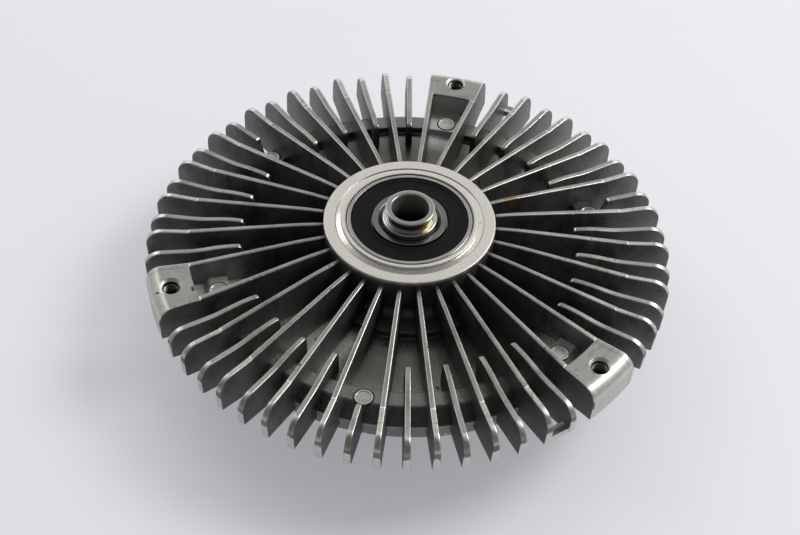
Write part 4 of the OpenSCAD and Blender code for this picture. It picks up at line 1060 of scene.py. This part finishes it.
# Front cover
# The front half is a second die casting, crimped into the housing's rim. Low fins stand on it,
# with a window for the bimetal strip, and the tube at its centre holds the shaft seal.
COVER_DEPTH = 34.9
COVER_FACE = 23.9
COVER_WALL = 3.0
COVER_EDGE = CRIMP - 0.02
COVER_BEND = 67.95
COVER_FACE_OUT = 67.2
COVER_REST = LAND / MM
O_RING_TOP = 14.7
O_RING_END = 16.5
O_RING_IN = CRIMP - 1.8
RESERVOIR = 49.0
RESERVOIR_DEPTH = 31.9
PLATE_EDGE = 52.42
NOSE_BORE = 19.5
NOSE = 23.5
NOSE_DEPTH = 36.5
SEAL_SEAT = 25.1
FRONT_FIN = 2.4
FRONT_FIN_START = 27.5
FRONT_FIN_FLAT = 53.0
FRONT_FIN_END = 66.2
FRONT_FIN_TIP = 27.9
FRONT_FIN_ROOT = 25.4
STRIP_Y = -34.0
STRIP_LENGTH = 46.0
STRIP_WIDTH = 12.0
WINDOW_LENGTH = 65.8
WINDOW_WIDTH = 18.0
WINDOW_HEIGHT = 20.0


def block(length, width, height, y, depth):
    """Box with its middle at a place across the clutch and a depth, in millimetres."""
    mesh = bmesh.new()
    bmesh.ops.create_cube(mesh, size=MM)
    bmesh.ops.scale(mesh, verts=mesh.verts[:], vec=(length, width, height))
    bmesh.ops.translate(mesh, verts=mesh.verts[:], vec=at(0, depth) + Vector((0, y * MM, 0)))
    return mesh


cover_finish = Finish("cast_cover", Metallic=1.0)
cover_radius, cover_depth = cover_finish.polar()
cover_grain = cover_finish.noise(900.0, 4.0, 0.65)
cover_blotch = cover_finish.noise(60.0, 5.0, 0.6)
cover_rings = cover_finish.turning_lines(0.15)
cover_turned = cover_finish.band(cover_radius, NOSE_BORE - 0.4, NOSE + 0.2, 0.05)
cover_turned = cover_turned * cover_finish.step(cover_depth, NOSE_DEPTH - 0.5, NOSE_DEPTH - 0.2)
cover_worn = cover_finish.step(cover_depth, COVER_REST - 0.5, COVER_REST - 0.1)
cover_bright = cover_finish.most(cover_turned, cover_worn * 0.8)
cover_pits = cover_finish.step(cover_finish.noise(1500.0, 2.0, 0.5), 0.70, 0.76)
cover_skin = cover_finish.mix(cover_blotch, (0.17, 0.17, 0.16, 1), (0.31, 0.31, 0.295, 1))
cover_metal = cover_finish.mix(cover_grain, (0.60, 0.60, 0.585, 1), (0.78, 0.775, 0.755, 1))
cover_colour = cover_finish.mix(cover_bright, cover_skin, cover_metal)
cover_colour = cover_finish.mix(cover_pits * 0.6, cover_colour, (0.05, 0.05, 0.048, 1))
cover_height = cover_grain * (1 - cover_bright * 0.8) + cover_blotch * 0.6
cover_height = cover_height + cover_rings * 0.4 * cover_turned - cover_pits * 2.5
cover_finish.use(
    Base_Color=cover_colour,
    Roughness=0.46 + (cover_blotch - 0.5) * 0.25 - cover_bright * 0.1,
    Normal=cover_finish.bump(cover_height, 0.05, 0.5, cover_finish.rounded()),
)
cover = turned(
    [
        (CHAMBER, COVER_STOP, 0),
        (COVER_EDGE, COVER_STOP, 0),
        (COVER_EDGE, O_RING_TOP, 0),
        (O_RING_IN, O_RING_TOP, 0),
        (O_RING_IN, O_RING_END, 0),
        (COVER_EDGE, O_RING_END, 0),
        (COVER_EDGE, CRIMP_DEPTH, 0),
        (CHAMBER + COVER_WALL, CRIMP_DEPTH, 0),
        (CHAMBER + COVER_WALL, ROTOR_FRONT, 1.2),
        (COVER_BEND, COVER_FACE + COVER_WALL, 1.2),
        (RESERVOIR + 4.5, COVER_FACE + COVER_WALL, 1.0),
        (RESERVOIR + COVER_WALL, COVER_DEPTH, 1.5),
        (NOSE, COVER_DEPTH, 0.5),
        (NOSE, NOSE_DEPTH, 0.4),
        (NOSE_BORE, NOSE_DEPTH, 0.4),
        (NOSE_BORE, SEAL_SEAT, 0),
        (NOSE_BORE - 2, SEAL_SEAT, 0),
        (NOSE_BORE - 2, COVER_FACE, 0),
        (NOSE, COVER_FACE, 0),
        (NOSE, RESERVOIR_DEPTH, 0),
        (RESERVOIR, RESERVOIR_DEPTH, 0),
        (RESERVOIR, COVER_FACE, 0),
        (PLATE_EDGE, COVER_FACE, 0),
        (PLATE_EDGE, ROTOR_FRONT + RUN_GAP, 0),
        (LAND_FIRST + 2 * LAND_PITCH - RUN_GAP, ROTOR_FRONT + RUN_GAP, 0),
        (LAND_FIRST + 2 * LAND_PITCH - RUN_GAP, COVER_FACE, 0),
    ]
    + ring_lands(2, COVER_FACE, ROTOR_FRONT + RUN_GAP)
    + [(COVER_FACE_OUT, COVER_FACE, 0), (CHAMBER, ROTOR_FRONT, 0)]
)
front_fin = fin(
    [
        (FRONT_FIN_START, COVER_DEPTH - 1.5, 0),
        (FRONT_FIN_START + 5.1, COVER_REST, 1.2),
        (FRONT_FIN_FLAT, COVER_REST, 2.5),
        (FRONT_FIN_END, FRONT_FIN_TIP, 0.6),
        (FRONT_FIN_END, FRONT_FIN_ROOT, 0),
        (RESERVOIR + COVER_WALL, FRONT_FIN_ROOT, 0),
        (RESERVOIR + 1.5, COVER_DEPTH - 1.5, 0),
    ],
    FRONT_FIN,
    COVER_DEPTH,
    -FIN_DRAFT,
)
front_fins = bmesh.new()
for i in range(LONG_COUNT):
    add_copy(front_fins, front_fin, i * LONG_PITCH)
window_top = COVER_DEPTH - 0.75
window = block(
    WINDOW_LENGTH, WINDOW_WIDTH, WINDOW_HEIGHT, STRIP_Y, window_top + WINDOW_HEIGHT / 2
)
add_copy(cover, cut(front_fins, window))
piece(
    "finned_cover", cover, cover_finish.material, "housing_body", ["front_cover"]
)
dress("cover_o_ring", rubber_finish)

# Shaft seal
# A rubber lip seal is pressed into the cover's tube, and a coil spring round its lip keeps it
# on the shaft.
SEAL_EDGE = NOSE_BORE - 0.02
LIP = 13.55
LIP_HEIGHT = 7.0
LIP_WALL = 1.5

shaft_seal = turned(
    [
        (SEAL_EDGE, SEAL_SEAT, 0),
        (SEAL_EDGE, SEAL_SEAT + LIP_HEIGHT, 0.3),
        (LIP + 1.2, SEAL_SEAT + LIP_HEIGHT, 0.4),
        (LIP, SEAL_SEAT + 4.1, 0),
        (LIP, SEAL_SEAT + 3.5, 0),
        (LIP + 1.2, SEAL_SEAT + LIP_WALL, 0),
        (LIP + 1.55, SEAL_SEAT + LIP_WALL, 0),
        (LIP + 1.15, SEAL_SEAT + 3.5, 0),
        (LIP + 1.8, SEAL_SEAT + LIP_HEIGHT - LIP_WALL, 0),
        (SEAL_EDGE - LIP_WALL, SEAL_SEAT + LIP_HEIGHT - LIP_WALL, 0),
        (SEAL_EDGE - LIP_WALL, SEAL_SEAT, 0),
    ]
)
piece("lip_seal", shaft_seal, rubber_finish, "housing_body", ["shaft_seal"])
dress("garter_spring", spring_finish)

# Valve
# A zinc plated plate closes the fluid reservoir in the cover. A spring lever over its port is
# riveted at one end and is pressed by the control pin.
plated_finish = Finish("zinc_plated_sheet", Metallic=1.0)
plated_spangle = plated_finish.noise(320.0, 4.0, 0.6)
plated_film = plated_finish.noise(45.0, 3.0)
plated_colour = plated_finish.mix(plated_spangle, (0.46, 0.45, 0.40, 1), (0.66, 0.64, 0.56, 1))
plated_finish.use(
    Base_Color=plated_finish.mix(plated_film * 0.4, plated_colour, (0.56, 0.50, 0.34, 1)),
    Roughness=0.3 + plated_spangle * 0.2,
    Normal=plated_finish.bump(plated_spangle, 0.01, 0.4),
)
dress("partition_plate", plated_finish.material)
dress("plate_rivets", rotor_finish)
dress("valve_lever", spring_finish)
dress("lever_rivet", rotor_finish)
dress("control_pin", bearing_finish)
dress("control_pin_seal", rubber_finish)

# Bimetal strip and brackets
# The strip of two rolled metals bows with the heat behind the radiator and moves the control
# pin. Two bent brackets of zinc plated sheet, each with one rivet, hold its ends.
STRIP_DEPTH = 36.2
STRIP_THICKNESS = 1.2
BRACKET_X = 23.3
BRACKET = 1.0
BRACKET_WIDTH = 8.0
BRACKET_FOOT = 5.6
BRACKET_REACH = 3.5
BRACKET_LIP = 38.7
RIVET = 1.3
RIVET_HEAD = 2.2
RIVET_HEIGHT = 1.1

strip_finish = Finish("bimetal_sheet", Metallic=1.0)
strip_x, strip_y, strip_z = strip_finish.axes()
strip_drawn = strip_finish.vector(strip_x * 30, strip_y * 4000, strip_z * 4000)
strip_lines = strip_finish.noise(1.0, 3.0, 0.6, strip_drawn)
strip_film = strip_finish.noise(70.0, 4.0)
strip_heat = strip_finish.mix(strip_film, (0.44, 0.40, 0.34, 1), (0.60, 0.55, 0.47, 1))
strip_finish.use(
    Base_Color=strip_finish.mix(strip_lines * 0.5, strip_heat, (0.32, 0.29, 0.25, 1)),
    Roughness=0.28 + strip_lines * 0.2,
    Normal=strip_finish.bump(strip_lines, 0.008, 0.5),
)
strip_middle = STRIP_DEPTH + STRIP_THICKNESS / 2
strip = block(STRIP_LENGTH, STRIP_WIDTH, STRIP_THICKNESS, STRIP_Y, strip_middle)
round_off(strip, strip.edges[:], 0.2, 3)
piece("strip", strip, strip_finish.material, "valve_drive", ["bimetal_strip"])

bracket = bmesh.new()
bracket_side = outline(
    bracket,
    [
        (BRACKET_X, COVER_DEPTH, 0.9),
        (BRACKET_X + BRACKET + BRACKET_FOOT, COVER_DEPTH, 0),
        (BRACKET_X + BRACKET + BRACKET_FOOT, COVER_DEPTH + BRACKET, 0),
        (BRACKET_X + BRACKET, COVER_DEPTH + BRACKET, 0.3),
        (BRACKET_X + BRACKET, BRACKET_LIP + BRACKET, 0.9),
        (BRACKET_X - BRACKET_REACH, BRACKET_LIP + BRACKET, 0),
        (BRACKET_X - BRACKET_REACH, BRACKET_LIP, 0),
        (BRACKET_X, BRACKET_LIP, 0.3),
    ],
)
bracket_far = bmesh.ops.extrude_face_region(bracket, geom=bracket_side)["geom"]
bracket_far = [v for v in bracket_far if isinstance(v, bmesh.types.BMVert)]
bracket_near = (STRIP_Y - BRACKET_WIDTH / 2) * MM
bmesh.ops.translate(bracket, verts=bracket.verts[:], vec=(0, bracket_near, 0))
bmesh.ops.translate(bracket, verts=bracket_far, vec=(0, BRACKET_WIDTH * MM, 0))
bmesh.ops.recalc_face_normals(bracket, faces=bracket.faces[:])
bracket_edges = [e for e in bracket.edges if e.calc_face_angle() > math.radians(60)]
round_off(bracket, bracket_edges, 0.12, 2)
other_bracket = bmesh.new()
add_copy(other_bracket, bracket)
bmesh.ops.scale(other_bracket, verts=other_bracket.verts[:], vec=(-1, 1, 1))
bmesh.ops.reverse_faces(other_bracket, faces=other_bracket.faces[:])
for name, node, mesh in (
    ("right_bracket", "strip_bracket_right", bracket),
    ("left_bracket", "strip_bracket_left", other_bracket),
):
    piece(name, mesh, plated_finish.material, "housing_body", [node])

rivets = bmesh.new()
for side in (-1, 1):
    rivet = turned(
        [
            (AXIS, COVER_DEPTH - 1.5, 0),
            (RIVET, COVER_DEPTH - 1.5, 0),
            (RIVET, COVER_DEPTH + BRACKET, 0),
            (RIVET_HEAD, COVER_DEPTH + BRACKET, 0),
            (RIVET_HEAD, COVER_DEPTH + BRACKET + 0.5, 0.3),
            (0.7, COVER_DEPTH + BRACKET + RIVET_HEIGHT, 0.4),
            (AXIS, COVER_DEPTH + BRACKET + RIVET_HEIGHT, 0),
        ],
        48,
    )
    place = Vector((side * (BRACKET_X + BRACKET + BRACKET_FOOT / 2) * MM, STRIP_Y * MM, 0))
    bmesh.ops.translate(rivet, verts=rivet.verts[:], vec=place)
    add_copy(rivets, rivet)
piece("foot_rivets", rivets, rotor_finish, "housing_body", ["bracket_rivets"])

# Table, lamps and camera
# The clutch lies on a plain pale table with a soft sheen. A broad soft lamp stands to the
# right and a weak one behind to the left, and the room is bright behind and dark overhead.
VIEW_AZIMUTH = 10.2
VIEW_ELEVATION = 45.6
VIEW_DISTANCE = 0.6263
VIEW_PAN = -0.2433
VIEW_TILT = 1.0198
VIEW_ROLL = -2.8055
PHOTO_WIDTH = 800
FOCAL_PIXELS = 1724.4
SENSOR = 36.0

table_finish = Finish(
    "pale_table", Metallic=0.0, Roughness=0.35, Specular_IOR_Level=0.3, Emission_Strength=1.0
)
table_cloud = table_finish.noise(3.0, 2.0)
table_direct = table_finish.add("LightPath", output="Is Camera Ray")
table_mirrored = table_finish.add("LightPath", output="Is Glossy Ray")
table_seen = table_direct + 0.5 * table_mirrored
table_finish.use(
    Base_Color=table_finish.mix(table_cloud, (0.66, 0.66, 0.67, 1), (0.69, 0.69, 0.70, 1)),
    Emission_Color=table_finish.mix(table_seen, (0, 0, 0, 1), (0.29, 0.295, 0.31, 1)),
)
table = bmesh.new()
bmesh.ops.create_grid(table, x_segments=1, y_segments=1, size=4.0)
table_data = bpy.data.meshes.new("table")
table.to_mesh(table_data)
table.free()
table_data.materials.append(table_finish.material)
table_top = bpy.data.objects.new("table", table_data)
bpy.context.scene.collection.objects.link(table_top)


def soft_lamp(name, azimuth, elevation, distance, size, power):
    """Flat lamp that shines on the clutch, placed round it as a view would be."""
    data = bpy.data.lights.new(name, "AREA")
    data.shape = "RECTANGLE"
    data.size, data.size_y = size
    data.energy = power
    lamp = bpy.data.objects.new(name, data)
    bpy.context.scene.collection.objects.link(lamp)
    turn = Matrix.Rotation(math.radians(azimuth), 4, "Z")
    tilt = Matrix.Rotation(math.radians(90 - elevation), 4, "X")
    lamp.matrix_world = turn @ tilt @ Matrix.Translation((0, 0, distance))


soft_lamp("right_lamp", 122, 46, 1.6, (0.8, 0.6), 11)
soft_lamp("back_left_lamp", 235, 42, 1.8, (0.8, 0.6), 2.5)


class Surroundings(Finish):
    """Light of a world, worked out from the direction."""

    def __init__(self, world):
        self.material = None
        self.tree = world.node_tree
        self.shader = self.tree.nodes["Background"]
        place = self.tree.nodes.new("ShaderNodeTexCoord")
        self.place = Value(self, place.outputs["Generated"])


world = bpy.data.worlds.new("studio")
world.use_nodes = True
studio = Surroundings(world)
_, behind, above = studio.axes()
room_light = 0.15 + 0.75 * studio.step(behind, -0.5, 0.75)
ceiling_shade = 1 - 0.6 * studio.step(above, 0.72, 0.95)
studio.use(Color=(0.94, 0.955, 1.0, 1), Strength=room_light * ceiling_shade)
bpy.context.scene.world = world
bpy.context.scene.view_settings.view_transform = "Standard"

camera_data = bpy.data.cameras.new("camera")
camera_data.sensor_width = SENSOR
camera_data.lens = FOCAL_PIXELS * SENSOR / PHOTO_WIDTH
camera_data.clip_start = 0.01
camera = bpy.data.objects.new("camera", camera_data)
bpy.context.scene.collection.objects.link(camera)
camera.matrix_world = (
    Matrix.Translation((0, 0, LAND))
    @ Matrix.Rotation(math.radians(VIEW_AZIMUTH), 4, "Z")
    @ Matrix.Rotation(math.radians(90 - VIEW_ELEVATION), 4, "X")
    @ Matrix.Translation((0, 0, VIEW_DISTANCE))
    @ Matrix.Rotation(math.radians(-VIEW_PAN), 4, "Y")
    @ Matrix.Rotation(math.radians(-VIEW_TILT), 4, "X")
    @ Matrix.Rotation(math.radians(-VIEW_ROLL), 4, "Z")
)
bpy.context.scene.camera = camera
